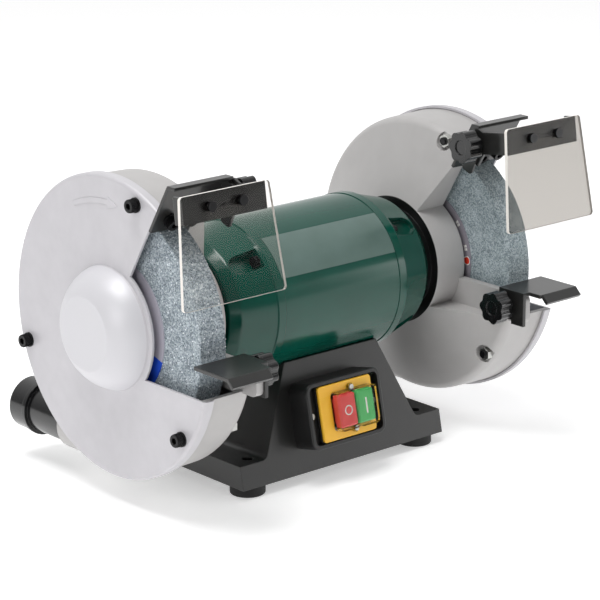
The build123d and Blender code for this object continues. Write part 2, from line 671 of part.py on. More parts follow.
def button(index):
    """A push button: a cap over the window's half and a stem into the block."""
    width = (WINDOW_WIDTH - 2 * BUTTON_SIDE_GAP - BUTTON_GAP) / 2
    centre = WINDOW_SHIFT + YELLOW_SHIFT + (index - 0.5) * (width + BUTTON_GAP)
    tall = WINDOW_TALL - 2 * BUTTON_SIDE_GAP
    under = yellow_back() + BUTTON_TRAVEL + 0.5
    cap = slab(width, tall, 2, under, SWITCH_DEPTH + BUTTON_PROUD, centre)
    cap = chamfer(front_face(cap).edges(), 1.5)
    return cap + button_slot(index, 0) + stem_top(index, under)


def stem_top(index, under):
    """The part of a button's stem between the block and the cap."""
    width = (WINDOW_WIDTH - 2 * BUTTON_SIDE_GAP - BUTTON_GAP) / 2
    centre = WINDOW_SHIFT + YELLOW_SHIFT + (index - 0.5) * (width + BUTTON_GAP)
    tall = WINDOW_TALL - 2 * BUTTON_SIDE_GAP
    shape = RectangleRounded(width - 4, tall - 6, 1.5)
    return extrude(switch_plane(yellow_back() - 1, centre) * shape, under - yellow_back() + 2)


def switch_cover():
    """The clear splash cover over both buttons, with a lug for each screw."""
    across = WINDOW_SHIFT + YELLOW_SHIFT
    top = SWITCH_DEPTH + COVER_PROUD
    width, tall = WINDOW_WIDTH + 2, WINDOW_TALL + 2
    cover = slab(width, tall, 4, SWITCH_DEPTH, top, across)
    inner_w, inner_t = width - 2 * COVER_WALL, tall - 2 * COVER_WALL
    hollow = slab(inner_w, inner_t, 3, SWITCH_DEPTH - 1, top - COVER_WALL, across)
    cover -= hollow
    for up in (-COVER_SCREW_UP, COVER_SCREW_UP):
        cover += round_bar(3.2, SWITCH_DEPTH, SWITCH_DEPTH + 1.5, across, up) - hollow
        cover -= round_bar(1.0, SWITCH_DEPTH - 1, SWITCH_DEPTH + 3, across, up)
        cover -= round_bar(2.4, SWITCH_DEPTH + 1.5, top + 1, across, up)
    return cover


def switch_screws():
    """Two screws of the clear cover and two of the inner panel."""
    screws = []
    for up in (-COVER_SCREW_UP, COVER_SCREW_UP):
        across = WINDOW_SHIFT + YELLOW_SHIFT
        head = round_bar(2.2, SWITCH_DEPTH + 1.5, SWITCH_DEPTH + 3, across, up)
        screws.append(head + round_bar(1.0, yellow_back(), SWITCH_DEPTH + 1.5, across, up))
    for across in (-PANEL_SCREW_X, PANEL_SCREW_X):
        head = round_bar(2.6, panel_front(), panel_front() + 1.5, across, 0)
        screws.append(head + round_bar(1.5, panel_front() - PANEL_THICK, panel_front(), across, 0))
    return screws


# ---------------------------------------------------------------- motor
def tie_bolt_angles():
    """The angles of the tie bolts about the shaft, in degrees."""
    return [45 + 360 / TIE_BOLT_COUNT * i for i in range(TIE_BOLT_COUNT)]


def tie_bolt_holes(grow):
    """Bars on the tie bolts' axes, a little fatter than the bolts."""
    bars = []
    for angle in tie_bolt_angles():
        y, z = around_shaft(TIE_BOLT_CIRCLE_R, angle)
        bars.append(rod((-POCKET_END_X, y, z), (POCKET_END_X, y, z), TIE_BOLT_R + grow))
    return bars


def motor_housing():
    """The rolled steel drum, tapped for the screws of the base."""
    inner = DRUM_R - DRUM_WALL
    drum = spin((-DRUM_HALF, inner), (DRUM_HALF, inner), (DRUM_HALF, DRUM_R), (-DRUM_HALF, DRUM_R))
    for x, y in four_corners(MOUNT_X, MOUNT_Y):
        drum -= rod((x, y, MOUNT_SEAT_Z), (x, y, SHAFT_HEIGHT - DRUM_R / 2), MOUNT_R)
    return drum


def name_plate():
    """The plain foil badge on the drum's front, with nothing printed on it."""
    ring = spin(
        (-DRUM_HALF + 0.5, DRUM_R),
        (DRUM_HALF - 0.5, DRUM_R),
        (DRUM_HALF - 0.5, DRUM_R + NAME_PLATE_THICK),
        (-DRUM_HALF + 0.5, DRUM_R + NAME_PLATE_THICK),
    )
    far = DRUM_R * 2
    low, high = radians(180 - NAME_PLATE_LOW), radians(180 - NAME_PLATE_HIGH)
    wedge = make_face(
        Polyline(
            (0, SHAFT_HEIGHT),
            (far * cos(low), SHAFT_HEIGHT + far * sin(low)),
            (far * cos(high), SHAFT_HEIGHT + far * sin(high)),
            close=True,
        )
    )
    return ring & prism_x(wedge, -DRUM_HALF, DRUM_HALF)


def end_bell_profile():
    """Half section of an end bell: rim, taper, end wall and bearing seat."""
    rim = DRUM_R + BAND_PROUD
    register = DRUM_R - DRUM_WALL - RUN
    band_end = BAND_END_X
    inner = register - BELL_WALL + 1
    seat_end = BEARING_X + BEARING_WIDTH
    wall = BELL_END_X - BELL_WALL
    hub = BEARING_R + 5.5
    points = [
        (DRUM_HALF - 5, inner),
        (DRUM_HALF - 5, register),
        (DRUM_HALF, register),
        (DRUM_HALF, rim),
        (band_end, rim),
        (band_end + 0.8, rim - 1.2),
        (BELL_END_X - 8, BELL_END_R + 6.5),
        (BELL_END_X, BELL_END_R),
        (BELL_END_X, SHAFT_R + 2.5),
        (seat_end, SHAFT_R + 2.5),
        (seat_end, BEARING_R),
        (BEARING_X, BEARING_R),
        (BEARING_X, hub),
        (wall, hub),
        (wall, BELL_END_R - 4),
        (wall - 8, BELL_END_R + 2),
    ]
    face = make_face(Polyline(*points, close=True))
    face = round_at(face, 4.0, (BELL_END_X - 8, BELL_END_R + 6.5))
    face = round_at(face, 2.5, (BELL_END_X, BELL_END_R))
    return face


def pocket_shape(grow, depth):
    """The D-shaped well of a tie bolt's end, at the top of the bell, facing up."""
    start = TIE_BOLT_SEAT_X - grow
    half = POCKET_HALF_WIDTH + grow
    nose = POCKET_END_X - POCKET_HALF_WIDTH
    edges = Polyline((nose, half), (start, half), (start, -half), (nose, -half)) + ThreePointArc(
        (nose, -half), (nose + half, 0), (nose, half)
    )
    return extrude(Plane.XY.offset(depth) * make_face(edges), 40)


def right_end_bell():
    """An end bell with four bolt pockets, its bearing seat and screw bosses."""
    section = end_bell_profile()
    bell = spin_face(section)
    far = spin(
        (DRUM_HALF + 5, BEARING_R + 6.5),
        (BELL_END_X - 2, BEARING_R + 6.5),
        (BELL_END_X - 2, BELL_END_R),
        (BAND_END_X, DRUM_R),
    )
    for angle in tie_bolt_angles():
        turn = Pos(0, 0, SHAFT_HEIGHT) * Rot(angle - 90, 0, 0)
        bell += (turn * pocket_shape(POCKET_WALL, TIE_BOLT_CIRCLE_R - 5.0 - POCKET_WALL)) & far
    for angle in tie_bolt_angles():
        turn = Pos(0, 0, SHAFT_HEIGHT) * Rot(angle - 90, 0, 0)
        bell -= turn * pocket_shape(0, TIE_BOLT_CIRCLE_R - 5.0)
    for bar in tie_bolt_holes(CLEAR):
        bell -= bar
    for y, z in guard_screw_points():
        bell += rod((GUARD_SCREW_TIP_X, y, z), (BELL_END_X - 1, y, z), GUARD_SCREW_R + 3)
        bell -= rod((GUARD_SCREW_TIP_X, y, z), (BELL_END_X + 1, y, z), GUARD_SCREW_R)
    return bell


def guard_screw_points():
    """The three screws that hold a guard to its end bell."""
    return [around_shaft(GUARD_SCREW_CIRCLE_R, angle) for angle in (90, 210, 330)]


def tie_bolts():
    """Four through bolts with their nuts, from end bell to end bell."""
    pieces = []
    seat = TIE_BOLT_SEAT_X
    for angle in tie_bolt_angles():
        y, z = around_shaft(TIE_BOLT_CIRCLE_R, angle)
        bolt = rod((-seat, y, z), (seat + TIE_BOLT_HEAD + 3, y, z), TIE_BOLT_R)
        flats = 3.2 * TIE_BOLT_R
        pieces.append(bolt + hexagon((-seat - TIE_BOLT_HEAD, y, z), (-seat, y, z), flats))
        nut = hexagon((seat, y, z), (seat + TIE_BOLT_HEAD, y, z), flats)
        pieces.append(nut - rod((seat - 1, y, z), (seat + TIE_BOLT_HEAD + 1, y, z), TIE_BOLT_R))
    return pieces


def stator_core():
    """The laminated stator, pressed into the drum, holed for the tie bolts."""
    inner, outer = ROTOR_R + AIR_GAP, DRUM_R - DRUM_WALL
    core = spin((-CORE_HALF, inner), (CORE_HALF, inner), (CORE_HALF, outer), (-CORE_HALF, outer))
    for bar in tie_bolt_holes(CLEAR):
        core -= bar
    for x, y in four_corners(MOUNT_X, MOUNT_Y):
        core -= rod((x, y, MOUNT_SEAT_Z), (x, y, SHAFT_HEIGHT - ROTOR_R - 12.5), MOUNT_R + 1.5)
    return core


def stator_winding():
    """The two ends of the copper winding, either side of the stator."""
    start, end = CORE_HALF, CORE_HALF + WINDING_LENGTH
    inner, outer = ROTOR_R + 4, TIE_BOLT_CIRCLE_R - 2 * TIE_BOLT_R
    face = make_face(Polyline((start, inner), (end, inner), (end, outer), (start, outer), close=True))
    ring = spin_face(round_at(face, 4.0, (end, inner), (end, outer)))
    return both(ring)


def bearing_outer_rings():
    """The outer rings of both ball bearings, pressed into the end bells."""
    end, groove = BEARING_X + BEARING_WIDTH, BEARING_R - BEARING_RING
    ring = spin((BEARING_X, groove), (end, groove), (end, BEARING_R), (BEARING_X, BEARING_R))
    return both(ring)


# ---------------------------------------------------------------- rotor
def shaft():
    """The motor shaft with a threaded arbor at each end."""
    shoulder = WHEEL_INNER_X - LABEL_THICK - FLANGE_THICK
    half = [
        (0, 0),
        (0, SHAFT_R + SHAFT_CORE_STEP),
        (CORE_HALF + 1, SHAFT_R + SHAFT_CORE_STEP),
        (CORE_HALF + 1, SHAFT_R),
        (shoulder, SHAFT_R),
        (shoulder, ARBOR_R),
        (SHAFT_END_X - 1, ARBOR_R),
        (SHAFT_END_X, ARBOR_R - 1),
        (SHAFT_END_X, 0),
    ]
    right = spin(*half)
    return right + left_of(right)


def rotor_core():
    """The laminated rotor on the middle of the shaft."""
    bore = SHAFT_R + SHAFT_CORE_STEP
    return spin((-CORE_HALF, bore), (CORE_HALF, bore), (CORE_HALF, ROTOR_R), (-CORE_HALF, ROTOR_R))


def fan():
    """The cooling fan inside the right end bell."""
    x0, hub = CORE_HALF + WINDING_LENGTH + FAN_GAP, SHAFT_R + 6
    x1 = x0 + FAN_WIDTH
    wheel = spin((x0, SHAFT_R), (x1, SHAFT_R), (x1, hub), (x0 + 2, hub), (x0 + 2, FAN_R), (x0, FAN_R))
    for i in range(FAN_BLADES):
        vane = block(x0 + 1, x1 - 1, -1, 1, hub - 1, FAN_R - 1)
        wheel += Pos(0, 0, SHAFT_HEIGHT) * Rot(360 / FAN_BLADES * i, 0, 0) * vane
    return wheel


def bearing_inner_rings():
    """The inner rings of both ball bearings, pressed on the shaft."""
    end = BEARING_X + BEARING_WIDTH
    race = SHAFT_R + BEARING_RING
    ring = spin((BEARING_X, SHAFT_R), (end, SHAFT_R), (end, race), (BEARING_X, race))
    return both(ring)


def bearing_balls():
    """The balls of both bearings."""
    circle = (SHAFT_R + BEARING_R) / 2
    radius = (BEARING_R - SHAFT_R) / 2 - BEARING_RING - 0.3
    balls = []
    for i in range(BALL_COUNT):
        y, z = around_shaft(circle, 360 / BALL_COUNT * i)
        balls += both(Pos(BEARING_X + BEARING_WIDTH / 2, y, z) * Sphere(radius))
    return balls


def right_wheel():
    """A grinding wheel with slightly broken edges."""
    x0, x1 = WHEEL_INNER_X, WHEEL_OUTER_X
    face = make_face(
        Polyline((x0, WHEEL_BORE_R), (x1, WHEEL_BORE_R), (x1, WHEEL_R), (x0, WHEEL_R), close=True)
    )
    return spin_face(round_at(face, WHEEL_EDGE_ROUND, (x0, WHEEL_R), (x1, WHEEL_R)))


def wheel_labels():
    """The paper discs on both faces of both wheels."""
    discs = []
    for x in (WHEEL_INNER_X - LABEL_THICK, WHEEL_OUTER_X):
        end = x + LABEL_THICK
        discs += both(spin((x, WHEEL_BORE_R), (end, WHEEL_BORE_R), (end, LABEL_R), (x, LABEL_R)))
    return discs


def inner_flanges():
    """The wheel flanges on the shaft's shoulders, each with half the wheel's hub."""
    face_x = WHEEL_INNER_X - LABEL_THICK
    middle = WHEEL_CENTRE_X - 0.5
    flange = spin(
        (face_x - FLANGE_THICK, ARBOR_R),
        (middle, ARBOR_R),
        (middle, WHEEL_BORE_R),
        (face_x, WHEEL_BORE_R),
        (face_x, FLANGE_R),
        (face_x - FLANGE_THICK + 2, FLANGE_R),
        (face_x - FLANGE_THICK, FLANGE_R - 5),
    )
    return both(flange)


def outer_flanges():
    """The outer wheel flanges, under the arbor nuts."""
    face_x = WHEEL_OUTER_X + LABEL_THICK
    middle = WHEEL_CENTRE_X + 0.5
    flange = spin(
        (middle, ARBOR_R),
        (face_x + FLANGE_THICK, ARBOR_R),
        (face_x + FLANGE_THICK, FLANGE_R - 5),
        (face_x + FLANGE_THICK - 2, FLANGE_R),
        (face_x, FLANGE_R),
        (face_x, WHEEL_BORE_R),
        (middle, WHEEL_BORE_R),
    )
    return both(flange)


def arbor_nuts():
    """The hexagon nuts that clamp the wheels."""
    x0 = WHEEL_OUTER_X + LABEL_THICK + FLANGE_THICK
    nut = hexagon((x0, 0, SHAFT_HEIGHT), (x0 + NUT_THICK, 0, SHAFT_HEIGHT), NUT_FLATS)
    return both(nut - rod((x0 - 1, 0, SHAFT_HEIGHT), (x0 + NUT_THICK + 1, 0, SHAFT_HEIGHT), ARBOR_R))


# ---------------------------------------------------------------- wheel guards
def dome_x(radius):
    """X of the casting's motor-side wall at a radius."""
    return DOME_START_X + (radius - DOME_START_R) * DOME_SLOPE


def casting_outside():
    """The casting's outer shape as a solid of revolution."""
    rim = GUARD_R - GUARD_DRAFT
    face = make_face(
        Polyline(
            (BELL_END_X, GUARD_BORE_R),
            (BELL_END_X, GUARD_NECK_R),
            (DOME_START_X + 1, GUARD_NECK_R),
            (DOME_START_X, DOME_START_R),
            (dome_x(rim), rim),
            (CASTING_END_X, GUARD_R),
            (CASTING_END_X, GUARD_BORE_R),
            close=True,
        )
    )
    return spin_face(round_at(face, DOME_ROUND, (dome_x(rim), rim)))


def casting_cavity():
    """The space round the wheel inside the casting."""
    rim = GUARD_R - GUARD_DRAFT - GUARD_WALL
    shift = GUARD_WALL * sqrt(1 + DOME_SLOPE**2)
    floor = DOME_START_X + shift
    face = make_face(
        Polyline(
            (floor, 0),
            (floor, DOME_START_R),
            (dome_x(rim) + shift, rim),
            (CASTING_END_X + 1, GUARD_R - GUARD_WALL),
            (CASTING_END_X + 1, 0),
            close=True,
        )
    )
    return spin_face(round_at(face, DOME_ROUND - GUARD_WALL, (dome_x(rim) + shift, rim)))


def guard_pillars():
    """The pillars of the lid's through bolts."""
    pillars = []
    for angle in LID_SCREW_ANGLES:
        y, z = around_shaft(LID_SCREW_CIRCLE_R, angle)
        pillars.append(rod((LID_NUT_FLOOR_X - 4, y, z), (CASTING_END_X, y, z), LID_PILLAR_R))
        pillars.append(rod((LID_NUT_FLOOR_X - 4, y, z), (LID_NUT_FLOOR_X + 4, y, z), NUT_WELL_R + 2.5))
    return pillars


def deflector_screw_places():
    """X, and the place along the cut, of a deflector's two screws."""
    return [(WHEEL_CENTRE_X + s * DEFLECTOR_SCREW_HALF, DEFLECTOR_SCREW_UP) for s in (-1, 1)]


def cut_rod(x, up, out0, out1, radius):
    """A cylinder square to the upper cut."""
    return rod((x, *on_cut(up, out0)), (x, *on_cut(up, out1)), radius)


def right_guard():
    """The cast guard: dome, rim, work opening, rest ear and dust outlet."""
    outside = casting_outside()
    spigot_boss = rod((SPIGOT_X, 20, SPIGOT_Z), (SPIGOT_X, SPIGOT_BOSS_Y, SPIGOT_Z), SPIGOT_BOSS_R)
    lining = prism_x(opening_outline(OPENING_LINING), 0, LINING_END_X)
    cavity = casting_cavity() - lining
    casting = outside + spigot_boss - cavity
    for pillar in guard_pillars():
        casting += pillar & outside
    ring = spin(
        (LINING_END_X - 2, BRIDGE_INNER_R),
        (CASTING_END_X, BRIDGE_INNER_R),
        (CASTING_END_X, GUARD_R - 2),
        (LINING_END_X - 2, GUARD_R - 2.5),
    )
    casting += ring & prism_x(cut_slab(-10, 60, -BRIDGE_DEPTH, 5), LINING_END_X - 2, CASTING_END_X)
    casting -= prism_x(opening_outline(0), 0, LID_FACE_X + 10)
    casting += rest_ear()
    casting -= rod((BELL_END_X - 1, 0, SHAFT_HEIGHT), (DOME_START_X + 9, 0, SHAFT_HEIGHT), GUARD_BORE_R)
    for angle in LID_SCREW_ANGLES:
        y, z = around_shaft(LID_SCREW_CIRCLE_R, angle)
        casting -= rod((LID_NUT_FLOOR_X - 20, y, z), (LID_NUT_FLOOR_X, y, z), NUT_WELL_R)
        casting -= rod((LID_NUT_FLOOR_X - 20, y, z), (CASTING_END_X + 1, y, z), LID_SCREW_R)
    for y, z in guard_screw_points():
        casting -= rod((BELL_END_X - 1, y, z), (DOME_START_X + 9, y, z), GUARD_SCREW_R)
    for x, up in deflector_screw_places():
        casting -= cut_rod(x, up, -BRIDGE_DEPTH - 1, 5, DEFLECTOR_SCREW_R)
    casting -= rod((SPIGOT_X, 0, SPIGOT_Z), (SPIGOT_X, GUARD_R, SPIGOT_Z), SPIGOT_R - SPIGOT_WALL)
    socket = SPIGOT_BOSS_Y - SPIGOT_SOCKET
    return casting - rod((SPIGOT_X, socket, SPIGOT_Z), (SPIGOT_X, GUARD_R, SPIGOT_Z), SPIGOT_R)


def rest_ear():
    """The flat ear that carries the tool rest, with the hole of its stud."""
    inner = REST_INNER_X + REST_SHEET + RUN
    back = -OPENING_ARC_R + 10
    low = OPENING_FLOOR_Z - 2
    face = make_face(
        Polyline((back, low), (EAR_FRONT_Y, low), (EAR_FRONT_Y, EAR_TOP_Z), (back, EAR_TOP_Z), close=True)
    )
    face = round_at(face, 5.0, (EAR_FRONT_Y, low), (EAR_FRONT_Y, EAR_TOP_Z))
    ear = prism_x(face, inner, inner + EAR_THICK)
    stud = rod((inner - 1, REST_STUD_Y, REST_STUD_Z), (inner + 20, REST_STUD_Y, REST_STUD_Z), STUD_R + RUN)
    return ear - stud


def right_guard_lid():
    """The pressed outer cover with its round hub boss and turned rim."""
    rim_in, rim_x = LID_R - LID_SHEET, LID_FACE_X - LID_RIM_DEPTH
    inner_face, inner_boss = LID_FACE_X - LID_SHEET, BOSS_FACE_X - LID_SHEET
    outer = Polyline(
        (inner_face, rim_in), (rim_x, rim_in), (rim_x, LID_R), (LID_FACE_X, LID_R), (LID_FACE_X, BOSS_FOOT_R)
    )
    bulge_x = LID_FACE_X + 0.592 * (BOSS_FACE_X - LID_FACE_X)
    bulge_r = BOSS_FOOT_R - 0.371 * BOSS_TAPER
    outer_arc = ThreePointArc((LID_FACE_X, BOSS_FOOT_R), (bulge_x, bulge_r), (BOSS_FACE_X, BOSS_FACE_R))
    cap = Polyline(
        (BOSS_FACE_X, BOSS_FACE_R), (BOSS_FACE_X, 0), (inner_boss, 0), (inner_boss, BOSS_FACE_R - 1.2)
    )
    inner_arc = ThreePointArc(
        (inner_boss, BOSS_FACE_R - 1.2),
        (bulge_x - 0.9 * LID_SHEET, bulge_r - 0.85 * LID_SHEET),
        (inner_face, BOSS_FOOT_R - LID_SHEET),
    )
    back = Line((inner_face, BOSS_FOOT_R - LID_SHEET), (inner_face, rim_in))
    face = make_face(outer + outer_arc + cap + inner_arc + back)
    face = round_at(face, LID_EDGE_ROUND, (LID_FACE_X, LID_R))
    face = round_at(face, BOSS_EDGE_ROUND, (BOSS_FACE_X, BOSS_FACE_R))
    lid = spin_face(face) - prism_x(opening_outline(0), 0, BOSS_FACE_X)
    for angle in LID_SCREW_ANGLES:
        y, z = around_shaft(LID_SCREW_CIRCLE_R, angle)
        lid -= rod((LID_FACE_X - 5, y, z), (LID_FACE_X + 5, y, z), LID_SCREW_R)
    boss = rod((SPIGOT_X, 20, SPIGOT_Z), (SPIGOT_X, LID_R, SPIGOT_Z), SPIGOT_BOSS_R + CLEAR)
    return lid - boss


def lid_screws():
    """The lids' through bolts: socket heads on plain washers, one solid each."""
    pieces = []
    for angle in LID_SCREW_ANGLES:
        y, z = around_shaft(LID_SCREW_CIRCLE_R, angle)
        washer = rod((LID_FACE_X, y, z), (LID_FACE_X + 1.5, y, z), LID_SCREW_R + 3)
        head = rod((LID_FACE_X + 1.5, y, z), (LID_FACE_X + 7.5, y, z), LID_SCREW_R + 2)
        shank = rod((LID_NUT_FLOOR_X - LID_NUT_THICK - 2, y, z), (LID_FACE_X, y, z), LID_SCREW_R)
        socket = hexagon((LID_FACE_X + 4.5, y, z), (LID_FACE_X + 8, y, z), 5)
        pieces += both(washer + head + shank - socket)
    return pieces


def lid_nuts():
    """The lids' nuts, in their wells on the motor side."""
    pieces = []
    for angle in LID_SCREW_ANGLES:
        y, z = around_shaft(LID_SCREW_CIRCLE_R, angle)
        start = LID_NUT_FLOOR_X - LID_NUT_THICK
        nut = hexagon((start, y, z), (LID_NUT_FLOOR_X, y, z), 2 * LID_SCREW_R + 4)
        pieces += both(nut - rod((start - 1, y, z), (LID_NUT_FLOOR_X + 1, y, z), LID_SCREW_R))
    return pieces


def guard_screws():
    """The screws through the guards' hubs into the end bells."""
    pieces = []
    seat = DOME_START_X + GUARD_WALL * sqrt(1 + DOME_SLOPE**2)
    for y, z in guard_screw_points():
        head = rod((seat, y, z), (seat + 5, y, z), GUARD_SCREW_R + 2)
        shank = rod((GUARD_SCREW_TIP_X + 1, y, z), (seat, y, z), GUARD_SCREW_R)
        pieces += both(head + shank)
    return pieces


def deflector_screws():
    """The socket-head screws that hold the spark deflectors."""
    pieces = []
    for x, up in deflector_screw_places():
        seat = DEFLECTOR_SHEET + 2 * RUN
        washer = cut_rod(x, up, seat, seat + 1.2, DEFLECTOR_SCREW_R + 3)
        head = cut_rod(x, up, seat + 1.2, seat + 7.2, DEFLECTOR_SCREW_R + 2)
        shank = cut_rod(x, up, -BRIDGE_DEPTH, seat, DEFLECTOR_SCREW_R)
        socket = hexagon((x, *on_cut(up, seat + 4)), (x, *on_cut(up, seat + 8)), 5)
        pieces += both(washer + head + shank - socket)
    return pieces


def dust_spigots():
    """The black dust spigots at the back, with a collar for the hose."""
    start = SPIGOT_BOSS_Y - SPIGOT_SOCKET
    collar = SPIGOT_END_Y - SPIGOT_COLLAR
    tube = rod((SPIGOT_X, start, SPIGOT_Z), (SPIGOT_X, SPIGOT_END_Y, SPIGOT_Z), SPIGOT_R)
    tube += rod((SPIGOT_X, collar, SPIGOT_Z), (SPIGOT_X, SPIGOT_END_Y, SPIGOT_Z), SPIGOT_COLLAR_R)
    tube += rod((SPIGOT_X, collar - 4, SPIGOT_Z), (SPIGOT_X, collar, SPIGOT_Z), SPIGOT_COLLAR_R + 1)
    inside = SPIGOT_R - SPIGOT_WALL
    return both(tube - rod((SPIGOT_X, start - 1, SPIGOT_Z), (SPIGOT_X, SPIGOT_END_Y + 1, SPIGOT_Z), inside))


# ---------------------------------------------------------------- tool rests
def right_tool_rest():
    """A folded rest: top plate, front lip, and a slotted leg on the motor side."""
    back = -WHEEL_R - REST_GAP
    front = back - REST_DEPTH
    outer = REST_OUTER_X
    low = REST_TOP_Z - REST_SHEET
    plate = block(REST_INNER_X, outer, front, back, low, REST_TOP_Z)
    notch = REST_INNER_X + REST_LIP_START - 3
    plate -= block(REST_INNER_X - 1, notch, front - 1, REST_LEG_FRONT_Y, 0, REST_TOP_Z + 1)
    lean = radians(REST_LIP_ANGLE)
    lip = make_face(
        Polyline(
            (front, REST_TOP_Z),
            (front - REST_LIP_LENGTH * cos(lean), REST_TOP_Z - REST_LIP_LENGTH * sin(lean)),
            (
                front - REST_LIP_LENGTH * cos(lean) + REST_SHEET * sin(lean),
                REST_TOP_Z - REST_LIP_LENGTH * sin(lean) - REST_SHEET * cos(lean),
            ),
            (front + REST_SHEET * tan(lean / 2), low),
            (front + REST_SHEET, low),
            (front + REST_SHEET, REST_TOP_Z),
            close=True,
        )
    )
    plate += prism_x(lip, REST_INNER_X + REST_LIP_START, outer)
    foot = REST_TOP_Z - REST_LEG_DEPTH
    ledge = OPENING_FLOOR_Z + 0.5
    outline = make_face(
        Polyline(
            (REST_LEG_FRONT_Y, foot),
            (REST_LEG_STEP_Y, foot),
            (REST_LEG_STEP_Y, ledge),
            (REST_LEG_BACK_Y, ledge),
            (REST_LEG_BACK_Y, REST_TOP_Z - 6),
            (back, REST_TOP_Z - 6),
            (back, REST_TOP_Z),
            (REST_LEG_FRONT_Y, REST_TOP_Z),
            close=True,
        )
    )
    rest = plate + prism_x(outline, REST_INNER_X, REST_INNER_X + REST_SHEET)
    slot_front = REST_STUD_Y - REST_TRAVEL_IN - STUD_R - 0.4
    slot_back = REST_STUD_Y + REST_TRAVEL_OUT + STUD_R + 0.4
    slot_half = STUD_R + RUN
    return rest - block(
        REST_INNER_X - 1,
        REST_INNER_X + REST_SHEET + 1,
        slot_front,
        slot_back,
        REST_STUD_Z - slot_half,
        REST_STUD_Z + slot_half,
    )


def star_knob(face_x, tip_x, y, z):
    """A lobed knob on the motor side of face_x, with its stud reaching tip_x."""
    outline = Circle(KNOB_R - 1.5)
    for i in range(KNOB_LOBES):
        angle = 2 * pi * i / KNOB_LOBES
        outline += Pos((KNOB_R - 4) * cos(angle), (KNOB_R - 4) * sin(angle)) * Circle(4)
    for i in range(KNOB_LOBES):
        angle = 2 * pi * (i + 0.5) / KNOB_LOBES
        outline -= Pos((KNOB_R + 0.6) * cos(angle), (KNOB_R + 0.6) * sin(angle)) * Circle(2.6)
    seat = Plane(origin=(face_x, y, z), x_dir=(0, 1, 0), z_dir=(-1, 0, 0))
    washer = rod((face_x - 1.5, y, z), (face_x, y, z), 8)
    hub = rod((face_x - 4, y, z), (face_x - 1.5, y, z), 7)
    head = extrude(seat.offset(4) * outline, KNOB_THICK)
    dish = rod((face_x - KNOB_THICK - 5, y, z), (face_x - KNOB_THICK - 3, y, z), 6)
    stud = rod((face_x - 5, y, z), (tip_x, y, z), STUD_R)
    return washer + hub + head + stud - dish


def right_rest_knob():
    """The star knob that clamps the tool rest to the guard's ear."""
    tip = REST_INNER_X + REST_SHEET + EAR_THICK - 1
    return star_knob(REST_INNER_X - RUN, tip, REST_STUD_Y, REST_STUD_Z)


# ---------------------------------------------------------------- spark deflectors and eye shields
def right_deflector():
    """The spark deflector: a plate on the cut, a top lip and the shield's ear."""
    top = (DEFLECTOR_TOP_Z - CUT_POINT[1]) / ALONG[1]
    lift = RUN
    plate = prism_x(
        cut_slab(0, top, lift, lift + DEFLECTOR_SHEET), DEFLECTOR_INNER_X, DEFLECTOR_OUTER_X
    )
    y0, z0 = on_cut(top, lift)
    y1, z1 = on_cut(top - DEFLECTOR_SHEET * tan(TILT / 2 + pi / 4), lift + DEFLECTOR_SHEET)
    front = y0 - DEFLECTOR_LIP
    under = z0 - DEFLECTOR_SHEET
    lip = make_face(Polyline((y0, z0), (front, z0), (front, under), (y1, under), (y1, z1), close=True))
    plate += prism_x(lip, DEFLECTOR_INNER_X, DEFLECTOR_OUTER_X)
    for x, up in deflector_screw_places():
        reach0 = up - DEFLECTOR_TRAVEL_OUT - DEFLECTOR_SCREW_R - RUN
        reach1 = up + DEFLECTOR_TRAVEL_IN + DEFLECTOR_SCREW_R + RUN
        half = DEFLECTOR_SCREW_R + RUN
        plate -= prism_x(cut_slab(reach0, reach1, -1, 5), x - half, x + half)
    ear = prism_x(
        cut_slab(20, top, lift, 24), DEFLECTOR_INNER_X, DEFLECTOR_INNER_X + EAR_PLATE
    )
    start, end = DEFLECTOR_INNER_X - 1, DEFLECTOR_INNER_X + EAR_PLATE + 1
    hole = rod((start, PIVOT_Y, PIVOT_Z), (end, PIVOT_Y, PIVOT_Z), STUD_R + RUN)
    return plate + ear - hole


def right_shield_bracket():
    """The shield's folded bracket: front strip, side arm and a short return."""
    low = BRACKET_TOP_Z - BRACKET_HEIGHT
    back = BRACKET_FRONT_Y + BRACKET_SHEET
    strip = block(BRACKET_ARM_X, BRACKET_OUTER_X, BRACKET_FRONT_Y, back, low, BRACKET_TOP_Z)
    inner = BRACKET_OUTER_X - BRACKET_SHEET
    stub = block(inner, BRACKET_OUTER_X, BRACKET_FRONT_Y, back + BRACKET_RETURN, low, BRACKET_TOP_Z)
    side = BRACKET_ARM_X + BRACKET_SHEET
    cheek = block(BRACKET_ARM_X, side, BRACKET_FRONT_Y, PIVOT_Y, low, BRACKET_TOP_Z - 3)
    slope = Plane(origin=(BRACKET_ARM_X, PIVOT_Y, PIVOT_Z), x_dir=(0, *ALONG), z_dir=(1, 0, 0))
    length = ARM_BELOW + ARM_ABOVE
    link = Pos((ARM_ABOVE - ARM_BELOW) / 2, 0) * RectangleRounded(length, 2 * ARM_HALF, 3)
    arm = extrude(slope * link, BRACKET_SHEET)
    hole = rod((BRACKET_ARM_X - 1, PIVOT_Y, PIVOT_Z), (BRACKET_ARM_X + 5, PIVOT_Y, PIVOT_Z), STUD_R + RUN)
    bracket = strip + stub + cheek + arm - hole
    for x in (SHIELD_CENTRE_X - SHIELD_SCREW_HALF, SHIELD_CENTRE_X + SHIELD_SCREW_HALF):
        z = BRACKET_TOP_Z - BRACKET_HEIGHT / 2
        bracket -= rod((x, BRACKET_FRONT_Y - 1, z), (x, back + 1, z), SHIELD_SCREW_R)
    return bracket


